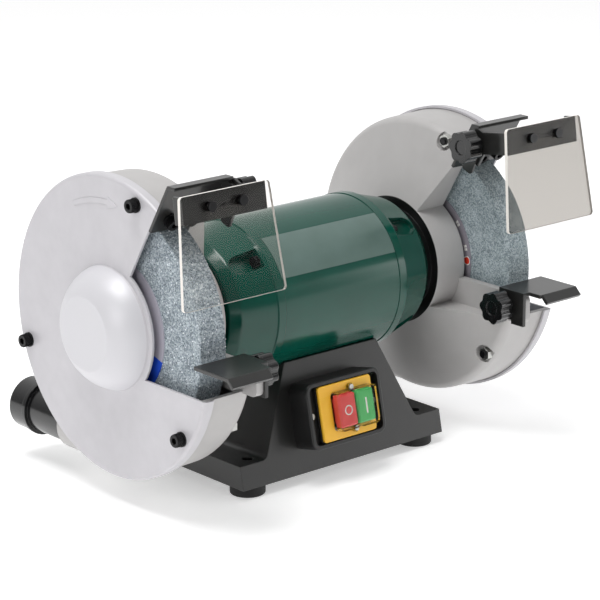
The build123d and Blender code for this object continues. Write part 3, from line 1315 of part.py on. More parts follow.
def right_shield():
    """The clear sheet in front of the bracket, wider at its foot."""
    top, width = BRACKET_TOP_Z + SHIELD_PROUD, SHIELD_BOTTOM_HALF
    foot = top - SHIELD_HEIGHT
    outline = make_face(
        Polyline(
            (SHIELD_CENTRE_X - SHIELD_TOP_HALF, top),
            (SHIELD_CENTRE_X + SHIELD_TOP_HALF, top),
            (SHIELD_CENTRE_X + width, foot),
            (SHIELD_CENTRE_X - width, foot),
            close=True,
        )
    )
    outline = fillet(outline.vertices(), 3)
    sheet = extrude(Plane.XZ.offset(-BRACKET_FRONT_Y) * outline, SHIELD_THICK)
    for x in (SHIELD_CENTRE_X - SHIELD_SCREW_HALF, SHIELD_CENTRE_X + SHIELD_SCREW_HALF):
        z = BRACKET_TOP_Z - BRACKET_HEIGHT / 2
        sheet -= rod((x, BRACKET_FRONT_Y + 1, z), (x, BRACKET_FRONT_Y - 5, z), SHIELD_SCREW_R)
    return sheet


def right_shield_screws():
    """Two pan-head screws with nuts, through the clear sheet and the bracket."""
    pieces = []
    face = BRACKET_FRONT_Y - SHIELD_THICK
    back = BRACKET_FRONT_Y + BRACKET_SHEET
    for x in (SHIELD_CENTRE_X - SHIELD_SCREW_HALF, SHIELD_CENTRE_X + SHIELD_SCREW_HALF):
        z = BRACKET_TOP_Z - BRACKET_HEIGHT / 2
        head = rod((x, face - 2.4, z), (x, face, z), 4)
        shank = rod((x, face, z), (x, back + 5, z), SHIELD_SCREW_R)
        pieces.append(head + shank)
        nut = hexagon((x, back, z), (x, back + 3, z), 7)
        pieces.append(nut - rod((x, back - 1, z), (x, back + 4, z), SHIELD_SCREW_R))
    return pieces


def lean_shield(solid):
    """A piece of the eye shield, turned on its pivot so that the foot is forward."""
    pivot = Axis((0, PIVOT_Y, PIVOT_Z), (1, 0, 0))
    return solid.rotate(pivot, -SHIELD_LEAN)


def right_shield_knob():
    """The star knob that clamps the shield's arm to the deflector's ear."""
    return star_knob(BRACKET_ARM_X - RUN, DEFLECTOR_INNER_X + EAR_PLATE + 3, PIVOT_Y, PIVOT_Z)


# ---------------------------------------------------------------- writing
def flat(pieces):
    """A list of solids from one shape or from nested lists of shapes."""
    if isinstance(pieces, (list, tuple)):
        return [solid for piece in pieces for solid in flat(piece)]
    return list(pieces.solids())


def write(name, pieces):
    """One STEP file for one node."""
    export_step(Compound(children=flat(pieces)), os.path.join("parts", name + ".step"))


def write_pair(name, pieces):
    """A right-hand node and its left-hand mirror image."""
    solids = flat(pieces)
    write("right_" + name, solids)
    write("left_" + name, [left_of(solid) for solid in solids])


def main():
    """Build every node."""
    os.makedirs("parts", exist_ok=True)
    write("base", base())
    write("base_plate", base_plate())
    write("base_plate_screws", base_plate_screws())
    write("feet", feet())
    write("motor_screws", motor_screws())
    write("cable_gland", cable_gland())
    write("capacitor", capacitor())
    write("switch_box", switch_box())
    write("switch_panel", switch_panel())
    write("switch_body", switch_body())
    write("switch_plate", switch_plate())
    write("switch_cover", switch_cover())
    write("switch_screws", switch_screws())
    write("stop_button", button(0))
    write("start_button", button(1))
    write("motor_housing", motor_housing())
    write("name_plate", name_plate())
    write("tie_bolts", tie_bolts())
    write("stator_core", stator_core())
    write("stator_winding", stator_winding())
    write("bearing_outer_rings", bearing_outer_rings())
    write("shaft", shaft())
    write("rotor_core", rotor_core())
    write("fan", fan())
    write("bearing_inner_rings", bearing_inner_rings())
    write("bearing_balls", bearing_balls())
    write("wheel_labels", wheel_labels())
    write("inner_flanges", inner_flanges())
    write("outer_flanges", outer_flanges())
    write("arbor_nuts", arbor_nuts())
    write("lid_screws", lid_screws())
    write("lid_nuts", lid_nuts())
    write("guard_screws", guard_screws())
    write("deflector_screws", deflector_screws())
    write("dust_spigots", dust_spigots())
    write_pair("end_bell", right_end_bell())
    write_pair("wheel", right_wheel())
    write_pair("guard", right_guard())
    write_pair("guard_lid", right_guard_lid())
    write_pair("tool_rest", right_tool_rest())
    write_pair("rest_knob", right_rest_knob())
    write_pair("deflector", right_deflector())
    write_pair("shield_bracket", lean_shield(right_shield_bracket()))
    write_pair("shield", lean_shield(right_shield()))
    write_pair("shield_screws", [lean_shield(piece) for piece in right_shield_screws()])
    write_pair("shield_knob", right_shield_knob())


main()
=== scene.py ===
"""Bench grinder: finishes, added details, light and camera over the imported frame.

The frame is in metres: +X along the motor shaft, -Y towards the operator, +Z up,
with its origin on the bench under the middle of the base.
"""

from __future__ import annotations

import json
import logging
import math
from dataclasses import dataclass
from enum import Enum
from typing import Any

import bmesh
import bpy
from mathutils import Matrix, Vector

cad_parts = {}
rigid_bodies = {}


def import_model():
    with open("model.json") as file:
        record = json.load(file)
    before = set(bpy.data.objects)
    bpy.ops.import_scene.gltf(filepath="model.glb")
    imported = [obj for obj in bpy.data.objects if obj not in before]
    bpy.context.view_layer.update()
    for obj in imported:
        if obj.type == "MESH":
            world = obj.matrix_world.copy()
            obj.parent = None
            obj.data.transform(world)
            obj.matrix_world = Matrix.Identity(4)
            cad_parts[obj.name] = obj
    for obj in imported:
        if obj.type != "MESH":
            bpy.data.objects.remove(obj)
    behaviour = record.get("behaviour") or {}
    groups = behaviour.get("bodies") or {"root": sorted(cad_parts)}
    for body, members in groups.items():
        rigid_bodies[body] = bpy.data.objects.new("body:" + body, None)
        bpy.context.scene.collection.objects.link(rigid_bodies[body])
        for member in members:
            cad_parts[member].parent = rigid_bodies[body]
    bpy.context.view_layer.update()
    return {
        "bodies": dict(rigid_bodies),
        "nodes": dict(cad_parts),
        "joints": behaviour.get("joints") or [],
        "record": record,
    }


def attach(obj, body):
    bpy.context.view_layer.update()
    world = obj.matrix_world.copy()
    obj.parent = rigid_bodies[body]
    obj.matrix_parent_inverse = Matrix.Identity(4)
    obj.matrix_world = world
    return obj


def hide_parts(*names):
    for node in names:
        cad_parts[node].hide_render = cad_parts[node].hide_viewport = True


LOG = logging.getLogger("bench_grinder")
MM = 0.001
SHAFT_Z = 0.145  # height of the motor shaft over the bench
FULL_TURN = 6.283
WELD = 1e-6  # points closer than this are one
BEVEL_SAMPLES = 4

Node = bpy.types.Node
Socket = bpy.types.NodeSocket
Normal = Socket | None
Tree = bpy.types.NodeTree
Material = bpy.types.Material
Mesh = bpy.types.Mesh
Piece = bpy.types.Object
Shape = bmesh.types.BMesh


class Side(Enum):
    """The two ends of the machine, with the sign of X that each lies on."""

    LEFT = -1
    RIGHT = 1

    @property
    def word(self) -> str:
        """The word that the names of this end's pieces start with."""
        return self.name.lower()


def linear(code: str) -> tuple[float, float, float, float]:
    """Turns an sRGB hex colour into linear RGBA.

    Args:
        code: The colour, such as "#0b5044".

    Returns:
        Red, green, blue and alpha, each from 0 to 1.
    """
    parts = [int(code[i : i + 2], 16) / 255 for i in (1, 3, 5)]
    flat = [c / 12.92 if c <= 0.04045 else ((c + 0.055) / 1.055) ** 2.4 for c in parts]
    return (flat[0], flat[1], flat[2], 1.0)


def add(tree: Tree, kind: str, feeds: dict[Any, Any] | None = None, **settings: Any) -> Node:
    """Adds one node to a tree, with its settings and its inputs.

    Args:
        tree: The tree that gets the node.
        kind: The node's type name.
        feeds: Input name or index to a value, or to the socket that feeds it. None leaves it as it is.
        settings: Properties of the node itself.

    Returns:
        The new node.
    """
    made = tree.nodes.new(kind)
    for key, value in settings.items():
        setattr(made, key, value)
    for key, value in (feeds or {}).items():
        if isinstance(value, Socket):
            tree.links.new(value, made.inputs[key])
        elif value is not None:
            made.inputs[key].default_value = value
    return made


# ---------------------------------------------------------------- finishes


@dataclass(frozen=True)
class Finish:
    """What every finish shares: a base colour, a gloss and softly broken edges."""

    name: str
    colour: str
    roughness: float
    metallic: float = 0.0
    ior: float = 1.5
    coat: float = 0.0
    coat_roughness: float = 0.08
    edge_mm: float = 0.5

    def material(self) -> Material:
        """Builds the material.

        Returns:
            The material, ready for a piece's slot.
        """
        made = bpy.data.materials.new(self.name)
        made.use_nodes = True
        tree = made.node_tree
        tree.nodes.clear()
        shader = add(
            tree,
            "ShaderNodeBsdfPrincipled",
            {
                "Base Color": linear(self.colour),
                "Roughness": self.roughness,
                "Metallic": self.metallic,
                "IOR": self.ior,
                "Coat Weight": self.coat,
                "Coat Roughness": self.coat_roughness,
            },
        )
        add(tree, "ShaderNodeOutputMaterial", {"Surface": shader.outputs[0]})
        place = add(tree, "ShaderNodeTexCoord").outputs["Object"]
        normal = None
        if self.edge_mm:
            soft = add(tree, "ShaderNodeBevel", {"Radius": self.edge_mm * MM}, samples=BEVEL_SAMPLES)
            normal = soft.outputs["Normal"]
        normal = self.dress(tree, shader, place, normal)
        if normal is not None:
            tree.links.new(normal, shader.inputs["Normal"])
        return made

    def dress(self, tree: Tree, shader: Node, place: Socket, normal: Normal) -> Normal:
        """Adds the finish's own pattern. The plain finish has none.

        Args:
            tree: The material's tree.
            shader: Its principled shader.
            place: Object coordinates, in metres.
            normal: The normal with rounded edges, if any.

        Returns:
            The normal that the shader should use.
        """
        return normal


def per_metre(size_mm: float) -> float:
    """Gives a pattern's scale from the real size of one of its lumps."""
    return 1.0 / (size_mm * MM)


def set_stops(ramp: Node, stops: list[tuple[float, str]]) -> Socket:
    """Sets the stops of a colour ramp.

    Args:
        ramp: The ramp's node, which comes with two stops.
        stops: Position and sRGB hex colour of each stop.

    Returns:
        The ramp's colour.
    """
    bar = ramp.color_ramp
    for index, (at, code) in enumerate(stops):
        stop = bar.elements[index] if index < 2 else bar.elements.new(at)
        stop.position = at
        stop.color = linear(code)
    return ramp.outputs["Color"]


@dataclass(frozen=True)
class Mottled(Finish):
    """A finish whose colour drifts a little, with fine relief and a patchy gloss."""

    dark: str = "#202020"
    light: str = "#303030"
    patch_mm: float = 12.0
    grain_mm: float = 1.2
    grain_depth_mm: float = 0.05
    grain_strength: float = 0.3
    gloss_swing: float = 0.06
    spread: tuple[float, float] = (0.3, 0.7)

    def dress(self, tree: Tree, shader: Node, place: Socket, normal: Normal) -> Normal:
        """Adds drifting colour, patchy gloss and fine grain.

        Args:
            tree: The material's tree.
            shader: Its principled shader.
            place: Object coordinates, in metres.
            normal: The normal with rounded edges, if any.

        Returns:
            The normal that the shader should use.
        """
        feeds = {"Vector": place, "Scale": per_metre(self.patch_mm), "Detail": 4.0}
        patches = add(tree, "ShaderNodeTexNoise", feeds).outputs["Fac"]
        stops = list(zip(self.spread, (self.dark, self.light)))
        drift = set_stops(add(tree, "ShaderNodeValToRGB", {"Fac": patches}), stops)
        tree.links.new(drift, shader.inputs["Base Color"])
        low, high = self.roughness - self.gloss_swing, self.roughness + self.gloss_swing
        gloss = add(tree, "ShaderNodeMapRange", {"Value": patches, "To Min": low, "To Max": high})
        tree.links.new(gloss.outputs[0], shader.inputs["Roughness"])
        feeds = {"Vector": place, "Scale": per_metre(self.grain_mm), "Detail": 1.0}
        grain = add(tree, "ShaderNodeTexNoise", feeds).outputs["Fac"]
        feeds = {"Height": grain, "Distance": self.grain_depth_mm * MM, "Strength": self.grain_strength}
        return add(tree, "ShaderNodeBump", {**feeds, "Normal": normal}).outputs["Normal"]


@dataclass(frozen=True)
class ZonedSkin(Mottled):
    """Paint with a second colour about the shaft, between two distances from the middle, that stands in
    for light or shade falling there: a painted highlight on the lid's boss, painted shade in the
    casting's neck.
    """

    # The defaults give painted shade: near black in the casting's neck next to the motor, standing in
    # for the shadow in the gap there.
    zone: str = "#0b0d0d"
    zone_from: float = 0.0
    zone_to: float = 0.1168
    zone_r: float = 0.0546

    def dress(self, tree: Tree, shader: Node, place: Socket, normal: Normal) -> Normal:
        """Adds the painted highlight or shade about the shaft to the mottled paint.

        Args:
            tree: The material's tree.
            shader: Its principled shader.
            place: Object coordinates, in metres.
            normal: The normal with rounded edges, if any.

        Returns:
            The normal that the shader should use.
        """
        made = super().dress(tree, shader, place, normal)
        paint = shader.inputs["Base Color"].links[0].from_socket
        split = add(tree, "ShaderNodeSeparateXYZ", {"Vector": place})
        middle, half = (self.zone_from + self.zone_to) / 2, (self.zone_to - self.zone_from) / 2
        reach = add(tree, "ShaderNodeMath", {0: split.outputs[0]}, operation="ABSOLUTE")
        feeds = {0: reach.outputs[0], 1: middle, 2: half}
        near = add(tree, "ShaderNodeMath", feeds, operation="COMPARE")
        rise = add(tree, "ShaderNodeMath", {0: split.outputs[2], 1: SHAFT_Z}, operation="SUBTRACT")
        flat = add(tree, "ShaderNodeCombineXYZ", {0: split.outputs[1], 1: rise.outputs[0]})
        radius = add(tree, "ShaderNodeVectorMath", {0: flat.outputs[0]}, operation="LENGTH")
        feeds = {0: radius.outputs["Value"], 1: self.zone_r}
        slim = add(tree, "ShaderNodeMath", feeds, operation="LESS_THAN")
        feeds = {0: near.outputs[0], 1: slim.outputs[0]}
        inside = add(tree, "ShaderNodeMath", feeds, operation="MULTIPLY")
        # Mixes in the second colour inside the band: painted light or shade that stands in for how light
        # falls there.
        feeds = {0: inside.outputs[0], 6: paint, 7: linear(self.zone)}
        mixed = add(tree, "ShaderNodeMix", feeds, data_type="RGBA")
        tree.links.new(mixed.outputs[2], shader.inputs["Base Color"])
        return made


@dataclass(frozen=True)
class BondedGrit(Finish):
    """Vitrified abrasive: packed crystals with dark pores between them."""

    dark: str = "#6d7983"
    middle: str = "#a9b5bd"
    light: str = "#e6edf1"
    grit_mm: float = 1.3
    cloud_mm: float = 9.0
    relief_mm: float = 0.35
    relief_strength: float = 0.55

    def dress(self, tree: Tree, shader: Node, place: Socket, normal: Normal) -> Normal:
        """Colours each crystal by itself.

        Args:
            tree: The material's tree.
            shader: Its principled shader.
            place: Object coordinates, in metres.
            normal: The normal with rounded edges, if any.

        Returns:
            The normal that the shader should use.
        """
        feeds = {"Vector": place, "Scale": per_metre(self.grit_mm)}
        cells = add(tree, "ShaderNodeTexVoronoi", feeds)
        shade = add(tree, "ShaderNodeSeparateColor", {"Color": cells.outputs["Color"]}).outputs[0]
        feeds = {"Vector": place, "Scale": per_metre(self.cloud_mm), "Detail": 3.0}
        cloud = add(tree, "ShaderNodeTexNoise", feeds).outputs["Fac"]
        both = add(tree, "ShaderNodeMath", {0: shade, 1: cloud}, operation="ADD").outputs[0]
        stops = [(0.28, self.dark), (0.52, self.middle), (0.82, self.light)]
        half = add(tree, "ShaderNodeMath", {0: both, 1: 0.5}, operation="MULTIPLY").outputs[0]
        drift = set_stops(add(tree, "ShaderNodeValToRGB", {"Fac": half}), stops)
        tree.links.new(drift, shader.inputs["Base Color"])
        feeds = {
            "Height": cells.outputs["Distance"],
            "Distance": self.relief_mm * MM,
            "Strength": self.relief_strength,
            "Normal": normal,
        }
        return add(tree, "ShaderNodeBump", feeds).outputs["Normal"]


@dataclass(frozen=True)
class LooseGrit(Finish):
    """Single crystals that stand out of a wheel, each with its own shade."""

    dark: str = "#59656e"
    middle: str = "#a3afb8"
    light: str = "#f0f5f8"

    def dress(self, tree: Tree, shader: Node, place: Socket, normal: Normal) -> Normal:
        """Reads the shade stored on each crystal.

        Args:
            tree: The material's tree.
            shader: Its principled shader.
            place: Object coordinates, in metres.
            normal: The normal with rounded edges, if any.

        Returns:
            The normal that the shader should use.
        """
        shade = add(tree, "ShaderNodeAttribute", attribute_name="shade").outputs["Fac"]
        stops = [(0.1, self.dark), (0.5, self.middle), (0.95, self.light)]
        drift = set_stops(add(tree, "ShaderNodeValToRGB", {"Fac": shade}), stops)
        tree.links.new(drift, shader.inputs["Base Color"])
        return normal


@dataclass(frozen=True)
class Clear(Finish):
    """A clear plastic that lets light through."""

    def dress(self, tree: Tree, shader: Node, place: Socket, normal: Normal) -> Normal:
        """Makes the shader transmit.

        Args:
            tree: The material's tree.
            shader: Its principled shader.
            place: Object coordinates, in metres.
            normal: The normal with rounded edges, if any.

        Returns:
            The normal that the shader should use.
        """
        shader.inputs["Transmission Weight"].default_value = 1.0
        return normal


@dataclass(frozen=True)
class DiscPaper(Finish):
    """The printed card on a wheel, with a coloured field over part of its ring."""

    field_colour: str = "#1b52d6"
    field_from: float = 198.0
    field_to: float = 235.0
    other: str = "#928d96"
    fibre_mm: float = 1.5
    fibre_depth_mm: float = 0.03
    fibre_strength: float = 0.2

    def dress(self, tree: Tree, shader: Node, place: Socket, normal: Normal) -> Normal:
        """Prints the field by its angle about the shaft.

        Args:
            tree: The material's tree.
            shader: Its principled shader.
            place: Object coordinates, in metres.
            normal: The normal with rounded edges, if any.

        Returns:
            The normal that the shader should use.
        """
        split = add(tree, "ShaderNodeSeparateXYZ", {"Vector": place})
        rise = add(tree, "ShaderNodeMath", {0: split.outputs[2], 1: SHAFT_Z}, operation="SUBTRACT")
        feeds = {0: rise.outputs[0], 1: split.outputs[1]}
        turn = add(tree, "ShaderNodeMath", feeds, operation="ARCTAN2")
        middle = math.radians((self.field_from + self.field_to) / 2 - 360)
        half = math.radians((self.field_to - self.field_from) / 2)
        feeds = {0: turn.outputs[0], 1: middle, 2: half}
        inside = add(tree, "ShaderNodeMath", feeds, operation="COMPARE")
        left = add(tree, "ShaderNodeMath", {0: split.outputs[0], 1: 0.0}, operation="LESS_THAN")
        feeds = {0: inside.outputs[0], 1: left.outputs[0]}
        field_here = add(tree, "ShaderNodeMath", feeds, operation="MULTIPLY")
        feeds = {0: left.outputs[0], 6: linear(self.other), 7: linear(self.colour)}
        card = add(tree, "ShaderNodeMix", feeds, data_type="RGBA")
        feeds = {0: field_here.outputs[0], 6: card.outputs[2], 7: linear(self.field_colour)}
        printed = add(tree, "ShaderNodeMix", feeds, data_type="RGBA")
        tree.links.new(printed.outputs[2], shader.inputs["Base Color"])
        feeds = {"Vector": place, "Scale": per_metre(self.fibre_mm), "Detail": 3.0}
        fibres = add(tree, "ShaderNodeTexNoise", feeds).outputs["Fac"]
        feeds = {"Height": fibres, "Distance": self.fibre_depth_mm * MM, "Strength": self.fibre_strength}
        return add(tree, "ShaderNodeBump", {**feeds, "Normal": normal}).outputs["Normal"]


# Steel sheet with a fine-texture powder coat, sprayed and baked: near black, dull, with a tiny pebbled
# relief that scatters the light into a grey sheen on faces that look up. Its grain is about 0.3 mm,
# drawn at 1.1 mm so that it shows.
POWDER_COAT = Mottled(
    "powder_coated_steel", "#1e1e1d", 0.3, dark="#1b1b1a", light="#222221", patch_mm=30.0, grain_mm=1.1,
    grain_depth_mm=0.05, grain_strength=0.3, gloss_swing=0.03, coat=0.3, coat_roughness=0.1, edge_mm=1.4,
)
# Pressed steel sheet with a satin silver-grey enamel: light, nearly matt, with a faint orange peel. The
# hub boss gets a paler colour: a painted highlight, standing in for light that falls on it.
SILVER_ENAMEL = ZonedSkin(
    "satin_silver_enamel", "#c6c4c8", 0.4, metallic=0.1, dark="#c4c2c6", light="#c9c7cb", patch_mm=14.0,
    grain_mm=2.2, grain_depth_mm=0.03, grain_strength=0.08, gloss_swing=0.02, edge_mm=0.8,
    zone="#d3d2d6", zone_from=0.1895, zone_to=0.25, zone_r=0.0495,
)
# Die-cast aluminium under the same silver paint: a little warmer and rougher, since the cast skin shows
# through. The neck next to the motor is painted near black: painted shade, standing in for the shadow in
# the gap there.
CAST_ALUMINIUM = ZonedSkin(
    "painted_cast_aluminium", "#b5b3b2", 0.4, metallic=0.1, dark="#b3b1b0", light="#b8b6b5",
    patch_mm=20.0, grain_mm=1.8, grain_depth_mm=0.06, grain_strength=0.16, gloss_swing=0.02, edge_mm=1.0,
)
# Stoving enamel on the drum and end bells: deep bottle green under a clear gloss, with a soft orange
# peel.
GREEN_ENAMEL = Mottled(
    "green_stoving_enamel", "#07483b", 0.17, ior=1.5, dark="#064337", light="#084c3f", patch_mm=60.0,
    grain_mm=5.0, grain_depth_mm=0.02, grain_strength=0.06, gloss_swing=0.015, edge_mm=0.8,
)
# Satin aluminium foil badge, printed grey-green all over and left blank.
BADGE_FOIL = Mottled(
    "printed_foil", "#5c746e", 0.34, metallic=0.25, dark="#587069", light="#617973", patch_mm=25.0,
    grain_mm=1.5, grain_depth_mm=0.02, grain_strength=0.1, coat=0.4, coat_roughness=0.2, edge_mm=0.0,
)
# Moulded glass-filled nylon: black with a fine spark-eroded grain.
NYLON = Mottled(
    "moulded_nylon", "#151515", 0.38, dark="#121212", light="#191919", patch_mm=18.0, grain_mm=1.0,
    grain_depth_mm=0.05, grain_strength=0.3, edge_mm=0.6,
)
# Polished ABS moulding: deep black with clear soft highlights.
GLOSS_ABS = Mottled(
    "polished_black_abs", "#101011", 0.2, dark="#0d0d0e", light="#131314", patch_mm=16.0, grain_mm=4.0,
    grain_depth_mm=0.03, grain_strength=0.1, gloss_swing=0.04, coat=0.3, edge_mm=1.0,
)
# Moulded ABS in signal yellow: even colour with a semi-gloss skin.
YELLOW_ABS = Mottled(
    "yellow_abs", "#f2b92e", 0.35, dark="#efb42a", light="#f5bf36", patch_mm=20.0, grain_mm=1.4,
    grain_depth_mm=0.03, grain_strength=0.12, edge_mm=0.7,
)
# Moulded ABS in red: even, glossier where fingers press.
RED_ABS = Mottled(
    "red_abs", "#e84b49", 0.25, dark="#e44543", light="#ee5250", patch_mm=10.0, grain_mm=1.2,
    grain_depth_mm=0.02, grain_strength=0.1, edge_mm=0.6,
)
# Moulded ABS in green: the same skin.
GREEN_ABS = Mottled(
    "green_abs", "#52c06a", 0.25, dark="#4cba64", light="#59c671", patch_mm=10.0, grain_mm=1.2,
    grain_depth_mm=0.02, grain_strength=0.1, edge_mm=0.6,
)
# White pad-printing ink: flat and even.
WHITE_INK = Finish("white_pad_print", "#f4f2ee", 0.45, edge_mm=0.0)
# Red print on card: flat, a little warm.
RED_INK = Finish("red_print", "#e8402a", 0.45, edge_mm=0.0)
# Soft clear PVC of the splash cover: slightly milky, with bright rounded edges.
CLEAR_PVC = Clear("soft_clear_pvc", "#fdfdfb", 0.05, ior=1.16, edge_mm=0.0)
# Cast acrylic sheet: clear and colourless to the eye. Its look comes from its bright edges.
ACRYLIC = Clear("cast_acrylic", "#f3f1ee", 0.01, ior=1.15, edge_mm=0.0)
# The same sheet with its grey protective film still on, which dims what lies behind.
FILMED_ACRYLIC = Clear("filmed_acrylic", "#b6b2ad", 0.02, ior=1.15, edge_mm=0.0)
# The sheet's sawn and flame-polished edge gathers light, so it looks bright and frosted.
ACRYLIC_EDGE = Finish("sawn_acrylic_edge", "#efeae4", 0.3, ior=1.49, edge_mm=0.0)
# Rubber feet: matt black.
RUBBER = Mottled(
    "nitrile_rubber", "#191919", 0.7, dark="#151515", light="#1e1e1e", patch_mm=10.0, grain_mm=1.2,
    grain_depth_mm=0.05, grain_strength=0.3, edge_mm=0.8,
)
# Black-oxide alloy screws: dark with a thin oily gloss.
BLACK_OXIDE = Mottled(
    "black_oxide_steel", "#161617", 0.3, metallic=0.6, dark="#121213", light="#1d1d1f", patch_mm=5.0,
    grain_mm=0.8, grain_depth_mm=0.02, grain_strength=0.2, edge_mm=0.4,
)
# Bright zinc plate: pale grey metal.
ZINC = Mottled(
    "zinc_plated_steel", "#b9b9b6", 0.32, metallic=1.0, dark="#adadaa", light="#c4c4c0", patch_mm=5.0,
    grain_mm=0.8, grain_depth_mm=0.02, grain_strength=0.2, edge_mm=0.4,
)
# Ground bearing and shaft steel: bright, with a tight even sheen.
GROUND_STEEL = Mottled(
    "ground_steel", "#c6c6c6", 0.22, metallic=1.0, dark="#bcbcbc", light="#cecece", patch_mm=8.0,
    grain_mm=0.7, grain_depth_mm=0.01, grain_strength=0.2, edge_mm=0.4,
)
# Stamped electrical steel, stacked: dull grey with a fine layered look.
LAMINATED_STEEL = Mottled(
    "electrical_steel", "#77787a", 0.45, metallic=1.0, dark="#6c6d70", light="#838486", patch_mm=4.0,
    grain_mm=0.7, grain_depth_mm=0.05, grain_strength=0.4,
)
# Enamelled copper wire under brown varnish: red-brown, lumpy, softly glossy.
VARNISHED_COPPER = Mottled(
    "varnished_copper", "#a5562c", 0.35, metallic=0.8, dark="#8a4420", light="#bd6a3a", patch_mm=3.0,
    grain_mm=1.0, grain_depth_mm=0.3, grain_strength=0.7,
)
# Drawn aluminium can of the capacitor: pale and satin.
DRAWN_ALUMINIUM = Mottled(
    "drawn_aluminium", "#b4b5b7", 0.4, metallic=1.0, dark="#a9aaac", light="#bebfc1", patch_mm=6.0,
    grain_mm=0.9, grain_depth_mm=0.02, grain_strength=0.2,
)
# Coarse vitrified corundum: blue-grey crystals of about 0.6 mm, drawn at 1.1 mm so that they show.
COARSE_GRIT = BondedGrit(
    "coarse_corundum", "#a2adb4", 0.75, dark="#727d85", middle="#9da8af", light="#ccd5da", grit_mm=1.1,
    edge_mm=0.0,
)
# Its crystals that stand out: each a shade of its own, so the face sparkles a little.
COARSE_CRYSTALS = LooseGrit("coarse_corundum_crystals", "#a9b5bd", 0.55, edge_mm=0.0)
# Fine vitrified corundum: darker, grit of about 0.25 mm, drawn at 1 mm.
FINE_GRIT = BondedGrit(
    "fine_corundum", "#8f9da1", 0.8, dark="#748287", middle="#9daaaf", light="#c4cfd3", grit_mm=1.0,
    cloud_mm=14.0, edge_mm=0.0,
)
# Its standing crystals: smaller steps of shade, so the face looks even.
FINE_CRYSTALS = LooseGrit(
    "fine_corundum_crystals", "#8f9da1", 0.6, dark="#77858a", middle="#9facb1", light="#c8d3d7",
    edge_mm=0.0,
)
# Printed card discs on the wheels: matt, slightly fibrous.
LABEL_CARD = DiscPaper("printed_card", "#b9b5c1", 0.6, edge_mm=0.0)


# ---------------------------------------------------------------- meshes and trees


def mesh_piece(name: str, shape: Shape, finishes: list[Material]) -> Piece:
    """Turns a bmesh into a piece at the origin.

    Args:
        name: The piece's name.
        shape: The shape, in the row frame. It is freed.
        finishes: Its materials, in slot order.

    Returns:
        The new piece.
    """
    bmesh.ops.recalc_face_normals(shape, faces=shape.faces)
    data = bpy.data.meshes.new(name)
    shape.to_mesh(data)
    shape.free()
    piece = bpy.data.objects.new(name, data)
    bpy.context.scene.collection.objects.link(piece)
    for finish in finishes:
        data.materials.append(finish)
    return piece


def prism(shape: Shape, outline: list[Vector], rise: Vector) -> list[bmesh.types.BMFace]:
    """Adds a closed prism to a shape.

    Args:
        shape: The bmesh that gets it.
        outline: The corners of one end, in order.
        rise: From that end to the other.

    Returns:
        The faces added.
    """
    low = [shape.verts.new(p) for p in outline]
    high = [shape.verts.new(p + rise) for p in outline]
    count = len(outline)
    faces = [shape.faces.new(low[::-1]), shape.faces.new(high)]
    for i in range(count):
        j = (i + 1) % count
        faces.append(shape.faces.new([low[i], low[j], high[j], high[i]]))
    return faces


def geometry_tree(name: str, numbers: dict[str, float]) -> tuple[Tree, Node, dict[str, str]]:
    """Starts a Geometry Nodes tree with named inputs.

    Args:
        name: The tree's name.
        numbers: Input names and their values.

    Returns:
        The tree, its input node, and the identifier of each named input.
    """
    tree = bpy.data.node_groups.new(name, "GeometryNodeTree")
    tree.interface.new_socket("Geometry", in_out="INPUT", socket_type="NodeSocketGeometry")
    tree.interface.new_socket("Geometry", in_out="OUTPUT", socket_type="NodeSocketGeometry")
    places = {}
    for key, value in numbers.items():
        kind = "NodeSocketInt" if isinstance(value, int) else "NodeSocketFloat"
        socket = tree.interface.new_socket(key, in_out="INPUT", socket_type=kind)
        socket.default_value = value
        places[key] = socket.identifier
    return tree, add(tree, "NodeGroupInput"), places


def close_tree(tree: Tree, shape: Socket, finish: Material) -> None:
    """Ends a tree in Realize Instances and Set Material.

    Args:
        tree: The tree.
        shape: The geometry made so far.
        finish: The material of what it makes.
    """
    real = add(tree, "GeometryNodeRealizeInstances", {"Geometry": shape})
    worn = add(tree, "GeometryNodeSetMaterial", {"Geometry": real.outputs[0], "Material": finish})
    add(tree, "NodeGroupOutput", {"Geometry": worn.outputs[0]})


def grow(
    name: str, source: Mesh, tree: Tree, places: dict[str, str], numbers: dict[str, float]
) -> Piece:
    """Runs a tree on a mesh and keeps the result as a plain mesh.

    Args:
        name: The new piece's name.
        source: The mesh that the tree starts from.
        tree: The tree.
        places: Identifier of each named input.
        numbers: The inputs' values.

    Returns:
        The new piece, with no modifier.
    """
    seed = bpy.data.objects.new(name + "_seed", source)
    bpy.context.scene.collection.objects.link(seed)
    modifier = seed.modifiers.new(name, "NODES")
    modifier.node_group = tree
    for key, value in numbers.items():
        modifier[places[key]] = value
    graph = bpy.context.evaluated_depsgraph_get()
    data = bpy.data.meshes.new_from_object(seed.evaluated_get(graph), depsgraph=graph)
    data.name = name
    bpy.data.objects.remove(seed)
    piece = bpy.data.objects.new(name, data)
    bpy.context.scene.collection.objects.link(piece)
    return piece


def points_mesh(name: str, points: list[Vector], facing: list[Vector]) -> Mesh:
    """Makes a mesh of loose points, each with the way that it faces.

    Args:
        name: The mesh's name.
        points: Where they are.
        facing: The direction stored on each.

    Returns:
        The mesh.
    """
    data = bpy.data.meshes.new(name)
    data.from_pydata(points, [], [])
    stored = data.attributes.new("facing", "FLOAT_VECTOR", "POINT")
    for index, way in enumerate(facing):
        stored.data[index].vector = way
    return data


